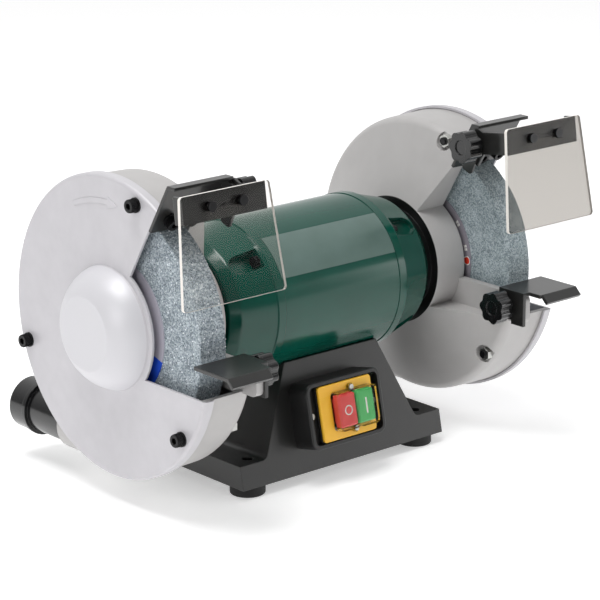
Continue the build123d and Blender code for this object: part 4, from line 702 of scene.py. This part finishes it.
def solids(node: Piece) -> list[list[Vector]]:
    """Splits a CAD node's mesh into its separate solids.

    Args:
        node: The CAD node.

    Returns:
        The points of each solid.
    """
    shape = bmesh.new()
    shape.from_mesh(node.data)
    bmesh.ops.remove_doubles(shape, verts=shape.verts, dist=WELD)
    shape.verts.index_update()
    seen: set[int] = set()
    found = []
    for first in shape.verts:
        if first.index in seen:
            continue
        seen.add(first.index)
        stack, group = [first], []
        while stack:
            vert = stack.pop()
            group.append(vert.co.copy())
            for edge in vert.link_edges:
                other = edge.other_vert(vert)
                if other.index not in seen:
                    seen.add(other.index)
                    stack.append(other)
        found.append(group)
    shape.free()
    return found


def far_face(points: list[Vector], way: Vector, depth_mm: float = 0.02) -> Vector:
    """Finds the middle of the points that lie furthest one way.

    Args:
        points: The points.
        way: The direction.
        depth_mm: How far behind the furthest a point may lie.

    Returns:
        The middle of their box.
    """
    reach = max(p.dot(way) for p in points)
    near = [p for p in points if p.dot(way) > reach - depth_mm * MM]
    low = Vector(min(p[i] for p in near) for i in range(3))
    high = Vector(max(p[i] for p in near) for i in range(3))
    return (low + high) / 2


# ---------------------------------------------------------------- sub-assemblies


@dataclass
class Assembly:
    """What every sub-assembly shares: the frame, and how its pieces are dressed and placed."""

    frame: dict[str, Any]

    def finish(self, finish: Finish) -> Material:
        """Gives the material of a finish, building it once for the whole scene."""
        made = bpy.data.materials.get(finish.name)
        return made or finish.material()

    def paint(self, finish: Finish, *nodes: str) -> None:
        """Puts a finish on CAD nodes.

        Args:
            finish: The finish.
            nodes: The nodes' names.
        """
        made = self.finish(finish)
        for name in nodes:
            node = self.frame["nodes"][name]
            if not node.material_slots:
                node.data.materials.append(made)
            for place in node.material_slots:
                place.material = made
            LOG.info("%s: %s", name, finish.name)

    def place(self, piece: Piece, body: str, slot: str) -> Piece:
        """Rides a new piece on a body.

        Args:
            piece: The piece.
            body: The CAD body.
            slot: The record's material slot. Not used.

        Returns:
            The piece.
        """
        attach(piece, body)
        LOG.info("%s rides on %s", piece.name, body)
        return piece

    def node_points(self, name: str) -> list[Vector]:
        """Gives all the points of a CAD node."""
        return [v.co.copy() for v in self.frame["nodes"][name].data.vertices]


@dataclass
class Pedestal(Assembly):
    """The base, its cover, feet, gland and inner parts."""

    def build(self) -> None:
        """Dresses the pedestal."""
        self.paint(POWDER_COAT, "base", "base_plate")
        self.paint(RUBBER, "feet")
        self.paint(ZINC, "base_plate_screws")
        self.paint(BLACK_OXIDE, "motor_screws")
        self.paint(NYLON, "cable_gland")
        self.paint(DRAWN_ALUMINIUM, "capacitor")


@dataclass
class Switch(Assembly):
    """The switch box with its two buttons, their marks and the clear cover."""

    lean: float = math.atan(0.2155)
    ring_parts: int = 40
    ring_mm: float = 4.1
    ring_line_mm: float = 1.0
    bar_mm: float = 13.0
    ink_mm: float = 0.12

    def build(self) -> None:
        """Dresses the switch and prints its marks."""
        self.paint(NYLON, "switch_box", "switch_panel", "switch_body")
        self.paint(YELLOW_ABS, "switch_plate")
        self.paint(RED_ABS, "stop_button")
        self.paint(GREEN_ABS, "start_button")
        self.paint(CLEAR_PVC, "switch_cover")
        self.paint(ZINC, "switch_screws")
        self.mark("stop_mark", "stop_button", self.ring())
        self.mark("start_mark", "start_button", self.bar())

    def ring(self) -> list[list[tuple[float, float]]]:
        """Outlines a ring as short strips.

        Returns:
            The corners of each strip, in millimetres.
        """
        strips = []
        inner = self.ring_mm - self.ring_line_mm
        for i in range(self.ring_parts):
            a, b = 2 * math.pi * i / self.ring_parts, 2 * math.pi * (i + 1) / self.ring_parts
            corners = [(inner, a), (self.ring_mm, a), (self.ring_mm, b), (inner, b)]
            strips.append([(r * math.cos(t), r * math.sin(t)) for r, t in corners])
        return strips

    def bar(self) -> list[list[tuple[float, float]]]:
        """Outlines an upright bar, in millimetres."""
        w, h = self.ring_line_mm * 0.8, self.bar_mm / 2
        return [[(-w, -h), (w, -h), (w, h), (-w, h)]]

    def mark(self, name: str, node: str, outlines: list[list[tuple[float, float]]]) -> None:
        """Prints a mark on a button's face.

        Args:
            name: The new piece's name.
            node: The button's node, which is also its body.
            outlines: The mark's flat parts.
        """
        out = Vector((0, -math.cos(self.lean), math.sin(self.lean)))
        up = Vector((0, math.sin(self.lean), math.cos(self.lean)))
        across = Vector((1, 0, 0))
        ink = out * self.ink_mm * MM
        centre = far_face(self.node_points(node), out) - ink
        shape = bmesh.new()
        for outline in outlines:
            prism(shape, [centre + across * x * MM + up * y * MM for x, y in outline], ink * 2)
        bmesh.ops.remove_doubles(shape, verts=shape.verts, dist=WELD / 10)
        self.place(mesh_piece(name, shape, [self.finish(WHITE_INK)]), node, self.slot_of(node))

    def slot_of(self, node: str) -> str:
        """Looks up a node's material slot in the record.

        Args:
            node: The node's name.

        Returns:
            The slot.
        """
        for entry in self.frame["record"]["subparts"]:
            if entry["node"] == node:
                return entry["material_slot"]
        raise KeyError(node)


@dataclass
class Motor(Assembly):
    """The drum, its end bells, badge and what turns inside."""

    def build(self) -> None:
        """Dresses the motor."""
        self.paint(GREEN_ENAMEL, "motor_housing", "left_end_bell", "right_end_bell")
        self.paint(BADGE_FOIL, "name_plate")
        self.paint(BLACK_OXIDE, "tie_bolts")
        self.paint(LAMINATED_STEEL, "stator_core", "rotor_core")
        self.paint(VARNISHED_COPPER, "stator_winding")
        self.paint(GROUND_STEEL, "bearing_outer_rings", "bearing_inner_rings", "bearing_balls", "shaft")
        self.paint(NYLON, "fan")


@dataclass
class Wheels(Assembly):
    """Both grinding wheels with their standing crystals, labels, flanges and nuts."""

    coarse_mm: float = 0.6
    coarse_gap_mm: float = 1.9
    fine_mm: float = 0.42
    fine_gap_mm: float = 2.0
    per_square_metre: float = 400000.0
    crystal_sizes: tuple[float, float] = (0.55, 1.25)
    clear_mm: float = 58.0
    card_mm: float = 0.8
    mark_r_mm: float = 52.0
    drop_angle: float = 177.0
    drop_mm: float = 3.1
    block_angles: tuple[float, ...] = (163.5, 166.5, 139.5, 142.5)
    block_mm: tuple[float, float] = (1.6, 1.1)
    ink_mm: float = 0.06
    top_ink_mm: float = 0.1

    def build(self) -> None:
        """Dresses the wheels and grows their crystals."""
        self.paint(COARSE_GRIT, "left_wheel")
        self.paint(FINE_GRIT, "right_wheel")
        self.paint(LABEL_CARD, "wheel_labels")
        self.paint(ZINC, "inner_flanges", "outer_flanges", "arbor_nuts")
        self.marks()
        self.crystals(Side.LEFT, COARSE_CRYSTALS, self.coarse_mm, self.coarse_gap_mm, "coarse_wheel")
        self.crystals(Side.RIGHT, FINE_CRYSTALS, self.fine_mm, self.fine_gap_mm, "fine_wheel")

    def marks(self) -> None:
        """Prints the drop and the two small blocks on the right wheel's inner card."""
        face_x = min(p.x for p in self.node_points("right_wheel")) - self.card_mm * MM
        ring, size = self.mark_r_mm, self.drop_mm
        turns = [math.pi * (i / 12 - 0.5) for i in range(13)]
        drop = [(ring + size * math.cos(t), size * math.sin(t)) for t in turns]
        drop += [(ring - 4.6, 1.2), (ring - 5.2, 0.0), (ring - 4.6, -1.2)]
        rim = [(ring + (x - ring) * 1.22, y * 1.3) for x, y in drop]
        long, wide = self.block_mm
        block = [(ring - long, -wide), (ring + long, -wide), (ring + long, wide), (ring - long, wide)]
        flats = [
            (self.drop_angle, rim, self.ink_mm, WHITE_INK, "drop_rim"),
            (self.drop_angle, drop, self.top_ink_mm, RED_INK, "drop"),
        ]
        for index, angle in enumerate(self.block_angles):
            flats.append((angle, block, self.ink_mm, WHITE_INK, f"block_{index}"))
        centre = Vector((face_x, 0, SHAFT_Z))
        for angle, outline, proud_mm, ink, name in flats:
            turn = math.radians(angle)
            out = Vector((0, math.cos(turn), math.sin(turn)))
            side = Vector((0, -math.sin(turn), math.cos(turn)))
            rise = Vector((-proud_mm * MM, 0, 0))
            shape = bmesh.new()
            prism(shape, [centre + out * x * MM + side * y * MM - rise for x, y in outline], rise * 2)
            self.place(mesh_piece(f"card_{name}", shape, [self.finish(ink)]), "rotor", "paper_label")

    def crystals(self, side: Side, finish: Finish, size_mm: float, gap_mm: float, slot: str) -> None:
        """Scatters crystals over a wheel's bare faces.

        Args:
            side: Which wheel.
            finish: The crystals' finish.
            size_mm: Radius of a crystal.
            gap_mm: Least distance between two.
            slot: The record's material slot.
        """
        numbers = {
            "Crystal radius": size_mm * MM,
            "Gap": gap_mm * MM,
            "Bare from radius": self.clear_mm * MM,
            "Shaft height": SHAFT_Z,
            "Seed": 7,
        }
        tree, given, places = geometry_tree(f"{side.word}_crystals", numbers)
        feeds: dict[Any, Any] = {
            "Mesh": given.outputs["Geometry"],
            "Distance Min": given.outputs["Gap"],
            "Density Max": self.per_square_metre,
            "Seed": given.outputs["Seed"],
        }
        spots = add(tree, "GeometryNodeDistributePointsOnFaces", feeds, distribute_method="POISSON")
        spot = add(tree, "GeometryNodeInputPosition").outputs[0]
        where = add(tree, "ShaderNodeSeparateXYZ", {0: spot})
        feeds = {0: where.outputs[2], 1: given.outputs["Shaft height"]}
        rise = add(tree, "ShaderNodeMath", feeds, operation="SUBTRACT")
        squares = [
            add(tree, "ShaderNodeMath", {0: part, 1: part}, operation="MULTIPLY").outputs[0]
            for part in (where.outputs[1], rise.outputs[0])
        ]
        total = add(tree, "ShaderNodeMath", {0: squares[0], 1: squares[1]}, operation="ADD")
        radius = add(tree, "ShaderNodeMath", {0: total.outputs[0]}, operation="SQRT")
        feeds = {0: radius.outputs[0], 1: given.outputs["Bare from radius"]}
        covered = add(tree, "ShaderNodeMath", feeds, operation="LESS_THAN")
        feeds = {"Geometry": spots.outputs["Points"], "Selection": covered.outputs[0]}
        kept = add(tree, "GeometryNodeDeleteGeometry", feeds)
        feeds = {"Max": (FULL_TURN, FULL_TURN, FULL_TURN), "Seed": 11}
        turn = add(tree, "FunctionNodeRandomValue", feeds, data_type="FLOAT_VECTOR")
        feeds = {2: self.crystal_sizes[0], 3: self.crystal_sizes[1], "Seed": 12}
        size = add(tree, "FunctionNodeRandomValue", feeds, data_type="FLOAT")
        feeds = {"Radius": given.outputs["Crystal radius"], "Subdivisions": 1}
        crystal = add(tree, "GeometryNodeMeshIcoSphere", feeds)
        feeds = {
            "Points": kept.outputs[0],
            "Instance": crystal.outputs[0],
            "Rotation": turn.outputs[0],
            "Scale": size.outputs[1],
        }
        grown = add(tree, "GeometryNodeInstanceOnPoints", feeds)
        feeds = {2: 0.0, 3: 1.0, "Seed": 13}
        shade = add(tree, "FunctionNodeRandomValue", feeds, data_type="FLOAT")
        feeds = {"Geometry": grown.outputs[0], "Name": "shade", "Value": shade.outputs[1]}
        kinds = {"data_type": "FLOAT", "domain": "INSTANCE"}
        stored = add(tree, "GeometryNodeStoreNamedAttribute", feeds, **kinds)
        close_tree(tree, stored.outputs[0], self.finish(finish))
        source = self.frame["nodes"][f"{side.word}_wheel"].data.copy()
        piece = grow(f"{side.word}_wheel_crystals", source, tree, places, numbers)
        LOG.info("%s has %d faces", piece.name, len(piece.data.polygons))
        self.place(piece, "rotor", slot)


@dataclass
class Guard(Assembly):
    """One wheel guard: its casting, its lid and the raised arrow on the lid."""

    side: Side = Side.LEFT
    lid_face_x: float = 0.188
    arrow_r_mm: float = 101.0
    arrow_from: float = 66.0
    arrow_to: float = 91.0
    arrow_steps: int = 24
    arrow_line_mm: float = 4.4
    arrow_wing_mm: float = 4.62
    arrow_proud_mm: float = 0.5
    tip_turn: float = 7.0
    wing_turn: float = 0.4

    def build(self) -> None:
        """Dresses one guard and raises its arrow."""
        word = self.side.word
        self.paint(CAST_ALUMINIUM, f"{word}_guard")
        self.paint(SILVER_ENAMEL, f"{word}_guard_lid")
        self.arrow()

    def arrow(self) -> None:
        """Raises a curved arrow out of the lid, the way that the wheel turns."""
        sign, radius = self.side.value, self.arrow_r_mm
        half, wide = self.arrow_line_mm / 2, self.arrow_wing_mm
        centre = Vector((self.lid_face_x * sign, 0.0, SHAFT_Z))
        rise = Vector((sign, 0, 0)) * self.arrow_proud_mm * MM
        sweep = (self.arrow_to - self.arrow_from) / self.arrow_steps
        angles = [math.radians(self.arrow_from + sweep * i) for i in range(self.arrow_steps + 1)]
        tip = math.radians(self.arrow_to + self.tip_turn)
        wing = math.radians(self.arrow_to + self.wing_turn)
        outline = [(a, radius - half) for a in angles]
        outline += [(wing, radius - wide), (tip, radius), (wing, radius + wide)]
        outline += [(a, radius + half) for a in reversed(angles)]
        corners = [centre + Vector((0, r * MM * math.cos(a), r * MM * math.sin(a))) for a, r in outline]
        shape = bmesh.new()
        prism(shape, [c - rise for c in corners], rise * 2)
        bmesh.ops.triangulate(shape, faces=[f for f in shape.faces if len(f.verts) > 4])
        piece = mesh_piece(f"{self.side.word}_arrow", shape, [self.finish(SILVER_ENAMEL)])
        self.place(piece, "frame", "silver_paint")


@dataclass
class Hardware(Assembly):
    """The guards' and deflectors' screws, knurled and threaded, with their nuts, and the spigots."""

    deflector_lean: float = 30.5
    seat_mm: float = 0.6
    end_mm: float = 0.4
    ridge_share: float = 0.34
    end_turns: int = 2
    ribs: int = 28
    rib_mm: float = 0.35
    head_r_mm: float = 5.0
    head_mm: float = 4.6
    pitch_mm: float = 1.0
    thread_r_mm: float = 3.0

    def build(self) -> None:
        """Dresses the screws, then grows their knurls and threads."""
        self.paint(BLACK_OXIDE, "lid_screws", "guard_screws", "deflector_screws")
        self.paint(ZINC, "lid_nuts")
        self.paint(GLOSS_ABS, "dust_spigots")
        self.knurls()
        self.threads()

    def ends(self, node: str, way: Vector) -> list[Vector]:
        """Gives the middle of each solid's end.

        Args:
            node: A node of screws.
            way: The way that the end faces on the right; the left is its mirror image.

        Returns:
            One point for each screw.
        """
        found = []
        for group in solids(self.frame["nodes"][node]):
            sign = 1 if sum(p.x for p in group) > 0 else -1
            found.append(far_face(group, Vector((way.x * sign, way.y, way.z))))
        return found

    def stand(self, tree: Tree, given: Node, part: Node) -> Node:
        """Stands a part on every point, facing the way stored on it.

        Args:
            tree: The tree.
            given: Its input node.
            part: The node that makes the part.

        Returns:
            The node that places the copies.
        """
        feeds = {"Name": "facing"}
        facing = add(tree, "GeometryNodeInputNamedAttribute", feeds, data_type="FLOAT_VECTOR")
        turn = add(tree, "FunctionNodeAlignRotationToVector", {"Vector": facing.outputs[0]}, axis="Z")
        feeds = {
            "Points": given.outputs["Geometry"],
            "Instance": part.outputs[0],
            "Rotation": turn.outputs[0],
        }
        return add(tree, "GeometryNodeInstanceOnPoints", feeds)

    def knurls(self) -> None:
        """Rings every socket head with fine ribs."""
        numbers = {
            "Head radius": self.head_r_mm * MM,
            "Head height": self.head_mm * MM,
            "Ribs": self.ribs,
            "Rib radius": self.rib_mm * MM,
        }
        tree, given, places = geometry_tree("socket_head_knurl", numbers)
        feeds = {
            "Vertices": 6,
            "Radius": given.outputs["Rib radius"],
            "Depth": given.outputs["Head height"],
        }
        rib = add(tree, "GeometryNodeMeshCylinder", feeds)
        feeds = {"Vertices": given.outputs["Ribs"], "Radius": given.outputs["Head radius"]}
        circle = add(tree, "GeometryNodeMeshCircle", feeds)
        feeds = {"Points": circle.outputs[0], "Instance": rib.outputs[0]}
        crown = add(tree, "GeometryNodeInstanceOnPoints", feeds)
        placed = self.stand(tree, given, crown)
        close_tree(tree, placed.outputs[0], self.finish(BLACK_OXIDE))
        lean = math.radians(self.deflector_lean)
        heads = {
            "lid_screws": Vector((1, 0, 0)),
            "deflector_screws": Vector((0, -math.cos(lean), -math.sin(lean))),
        }
        spots, ways = [], []
        for node, way in heads.items():
            for point in self.ends(node, way):
                facing = Vector((way.x * (1 if point.x > 0 else -1), way.y, way.z))
                spots.append(point - facing * (self.head_mm / 2 + self.seat_mm) * MM)
                ways.append(facing)
        piece = grow("socket_head_knurls", points_mesh("heads", spots, ways), tree, places, numbers)
        self.place(piece, "frame", "black_screws")

    def threads(self) -> None:
        """Cuts a thread's ridges into the bolts' bare ends beside their nuts."""
        numbers = {
            "Thread radius": self.thread_r_mm * MM,
            "Pitch": self.pitch_mm * MM,
            "Turns": self.end_turns,
        }
        tree, given, places = geometry_tree("bolt_thread", numbers)
        step = add(tree, "ShaderNodeCombineXYZ", {2: given.outputs["Pitch"]})
        feeds = {"Count": given.outputs["Turns"], "Offset": step.outputs[0]}
        line = add(tree, "GeometryNodeMeshLine", feeds, mode="OFFSET")
        feeds = {0: given.outputs["Pitch"], 1: self.ridge_share}
        wire = add(tree, "ShaderNodeMath", feeds, operation="MULTIPLY")
        feeds = {"Resolution": 24, "Radius": given.outputs["Thread radius"]}
        loop = add(tree, "GeometryNodeCurvePrimitiveCircle", feeds)
        feeds = {"Resolution": 5, "Radius": wire.outputs[0]}
        section = add(tree, "GeometryNodeCurvePrimitiveCircle", feeds)
        feeds = {"Curve": loop.outputs[0], "Profile Curve": section.outputs[0]}
        ridge = add(tree, "GeometryNodeCurveToMesh", feeds)
        feeds = {"Points": line.outputs[0], "Instance": ridge.outputs[0]}
        stack = add(tree, "GeometryNodeInstanceOnPoints", feeds)
        placed = self.stand(tree, given, stack)
        close_tree(tree, placed.outputs[0], self.finish(BLACK_OXIDE))
        spots, ways = [], []
        for point in self.ends("lid_screws", Vector((-1, 0, 0))):
            back = Vector((1 if point.x > 0 else -1, 0, 0))
            spots.append(point + back * self.end_mm * MM)
            ways.append(back)
        piece = grow("bolt_end_threads", points_mesh("bolt_ends", spots, ways), tree, places, numbers)
        self.place(piece, "frame", "black_screws")


@dataclass
class Workstation(Assembly):
    """What the operator sets at one wheel: deflector, shield, rest and their knobs."""

    side: Side = Side.LEFT

    def build(self) -> None:
        """Dresses one workstation and makes its clear sheet."""
        word = self.side.word
        self.paint(POWDER_COAT, f"{word}_tool_rest", f"{word}_deflector", f"{word}_shield_bracket")
        self.paint(GLOSS_ABS, f"{word}_rest_knob", f"{word}_shield_knob")
        self.paint(BLACK_OXIDE, f"{word}_shield_screws")
        self.sheet()

    def sheet(self) -> None:
        """Makes the clear sheet from its CAD solid, with bright broken edges."""
        name = f"{self.side.word}_shield"
        shape = bmesh.new()
        shape.from_mesh(self.frame["nodes"][name].data)
        bmesh.ops.remove_doubles(shape, verts=shape.verts, dist=WELD)
        bmesh.ops.recalc_face_normals(shape, faces=shape.faces)
        wide = max(shape.faces, key=lambda f: f.calc_area()).normal.copy()
        for face in shape.faces:
            face.smooth = False
            face.material_index = 0 if abs(face.normal.dot(wide)) > 0.99 else 1
        pane = FILMED_ACRYLIC if self.side is Side.RIGHT else ACRYLIC
        piece = mesh_piece(f"{name}_sheet", shape, [self.finish(pane), self.finish(ACRYLIC_EDGE)])
        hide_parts(name)
        self.place(piece, name, "clear_sheet")


# ---------------------------------------------------------------- studio


@dataclass(frozen=True)
class Softbox:
    """One soft light: where it stands, what it looks at, how wide and how strong."""

    name: str
    place: tuple[float, float, float]
    size: float
    power: float
    aim: tuple[float, float, float] = (0.0, 0.0, 0.14)

    def build(self) -> None:
        """Adds the light."""
        data = bpy.data.lights.new(self.name, "AREA")
        data.shape = "SQUARE"
        data.size = self.size
        data.energy = self.power
        lamp = bpy.data.objects.new(self.name, data)
        bpy.context.scene.collection.objects.link(lamp)
        lamp.location = self.place
        way = Vector(self.aim) - Vector(self.place)
        lamp.rotation_euler = way.to_track_quat("-Z", "Y").to_euler()


@dataclass
class Studio:
    """Camera, floor and lights."""

    azimuth: float = -41.3088
    elevation: float = 16.4263
    distance: float = 2.20179
    target: tuple[float, float, float] = (0.009967, 0.0, 0.129085)
    lens: float = 159.911
    sky_low: float = 0.16
    sky_high: float = 0.85
    bright_way: tuple[float, float, float] = (0.6, 0.6, 0.55)
    sky_span: tuple[float, float] = (-0.2, 0.95)
    floor_glow: float = 0.42
    floor_half: float = 30.0
    boxes: tuple[Softbox, ...] = (
        Softbox("overhead", (-0.55, -0.1, 1.9), 0.9, 22.0),
        Softbox("front_left", (-2.2, -1.0, 1.2), 1.0, 11.0),
        Softbox("front_right", (1.9, -1.6, 0.4), 0.7, 6.0),
    )

    def camera(self) -> None:
        """Adds the camera at the product view."""
        data = bpy.data.cameras.new("product_view")
        data.lens = self.lens
        data.sensor_width = 36.0
        made = bpy.data.objects.new("product_view", data)
        bpy.context.scene.collection.objects.link(made)
        a, e = math.radians(self.azimuth), math.radians(self.elevation)
        back = Vector((math.sin(a) * math.cos(e), -math.cos(a) * math.cos(e), math.sin(e)))
        made.location = Vector(self.target) + back * self.distance
        made.rotation_euler = (-back).to_track_quat("-Z", "Y").to_euler()
        data.clip_end = 100.0
        bpy.context.scene.camera = made

    def floor(self) -> None:
        """Adds the plain pale floor."""
        shape = bmesh.new()
        far = self.floor_half
        ends = ((-far, -far), (far, -far), (far, far), (-far, far))
        shape.faces.new([shape.verts.new((x, y, 0.0)) for x, y in ends])
        paper = Finish("pale_floor", "#f2f2f2", 0.9, ior=1.1, edge_mm=0.0).material()
        shader = next(n for n in paper.node_tree.nodes if n.type == "BSDF_PRINCIPLED")
        shader.inputs["Emission Color"].default_value = (1, 1, 1, 1)
        shader.inputs["Emission Strength"].default_value = self.floor_glow
        mesh_piece("floor", shape, [paper])

    def light(self) -> None:
        """Adds the softboxes and the even light of the room."""
        world = bpy.data.worlds.new("studio")
        world.use_nodes = True
        tree = world.node_tree
        way = add(tree, "ShaderNodeTexCoord").outputs["Generated"]
        toward = Vector(self.bright_way).normalized()
        share = add(tree, "ShaderNodeVectorMath", {0: way, 1: toward}, operation="DOT_PRODUCT")
        feeds = {
            "Value": share.outputs["Value"],
            "From Min": self.sky_span[0],
            "From Max": self.sky_span[1],
            "To Min": self.sky_low,
            "To Max": self.sky_high,
        }
        level = add(tree, "ShaderNodeMapRange", feeds, interpolation_type="SMOOTHSTEP")
        tree.links.new(level.outputs[0], tree.nodes["Background"].inputs[1])
        tree.nodes["Background"].inputs[0].default_value = (1, 1, 1, 1)
        bpy.context.scene.world = world
        for box in self.boxes:
            box.build()
        bpy.context.scene.view_settings.view_transform = "Standard"

    def build(self) -> None:
        """Builds the studio."""
        self.camera()
        self.floor()
        self.light()


def corners(box: tuple[Vector, Vector]) -> list[list[float]]:
    """Gives a box's corners as plain lists."""
    return [[float(c) for c in corner] for corner in box]


def main() -> None:
    """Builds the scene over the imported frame."""
    logging.basicConfig(level=logging.INFO, format="%(name)s: %(message)s")
    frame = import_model()
    Studio().build()
    Pedestal(frame).build()
    Switch(frame).build()
    Motor(frame).build()
    Wheels(frame).build()
    Hardware(frame).build()
    for side in Side:
        Guard(frame, side=side).build()
        Workstation(frame, side=side).build()
    bpy.context.view_layer.update()
    LOG.info("sizes written")


if __name__ == "__main__":
    main()
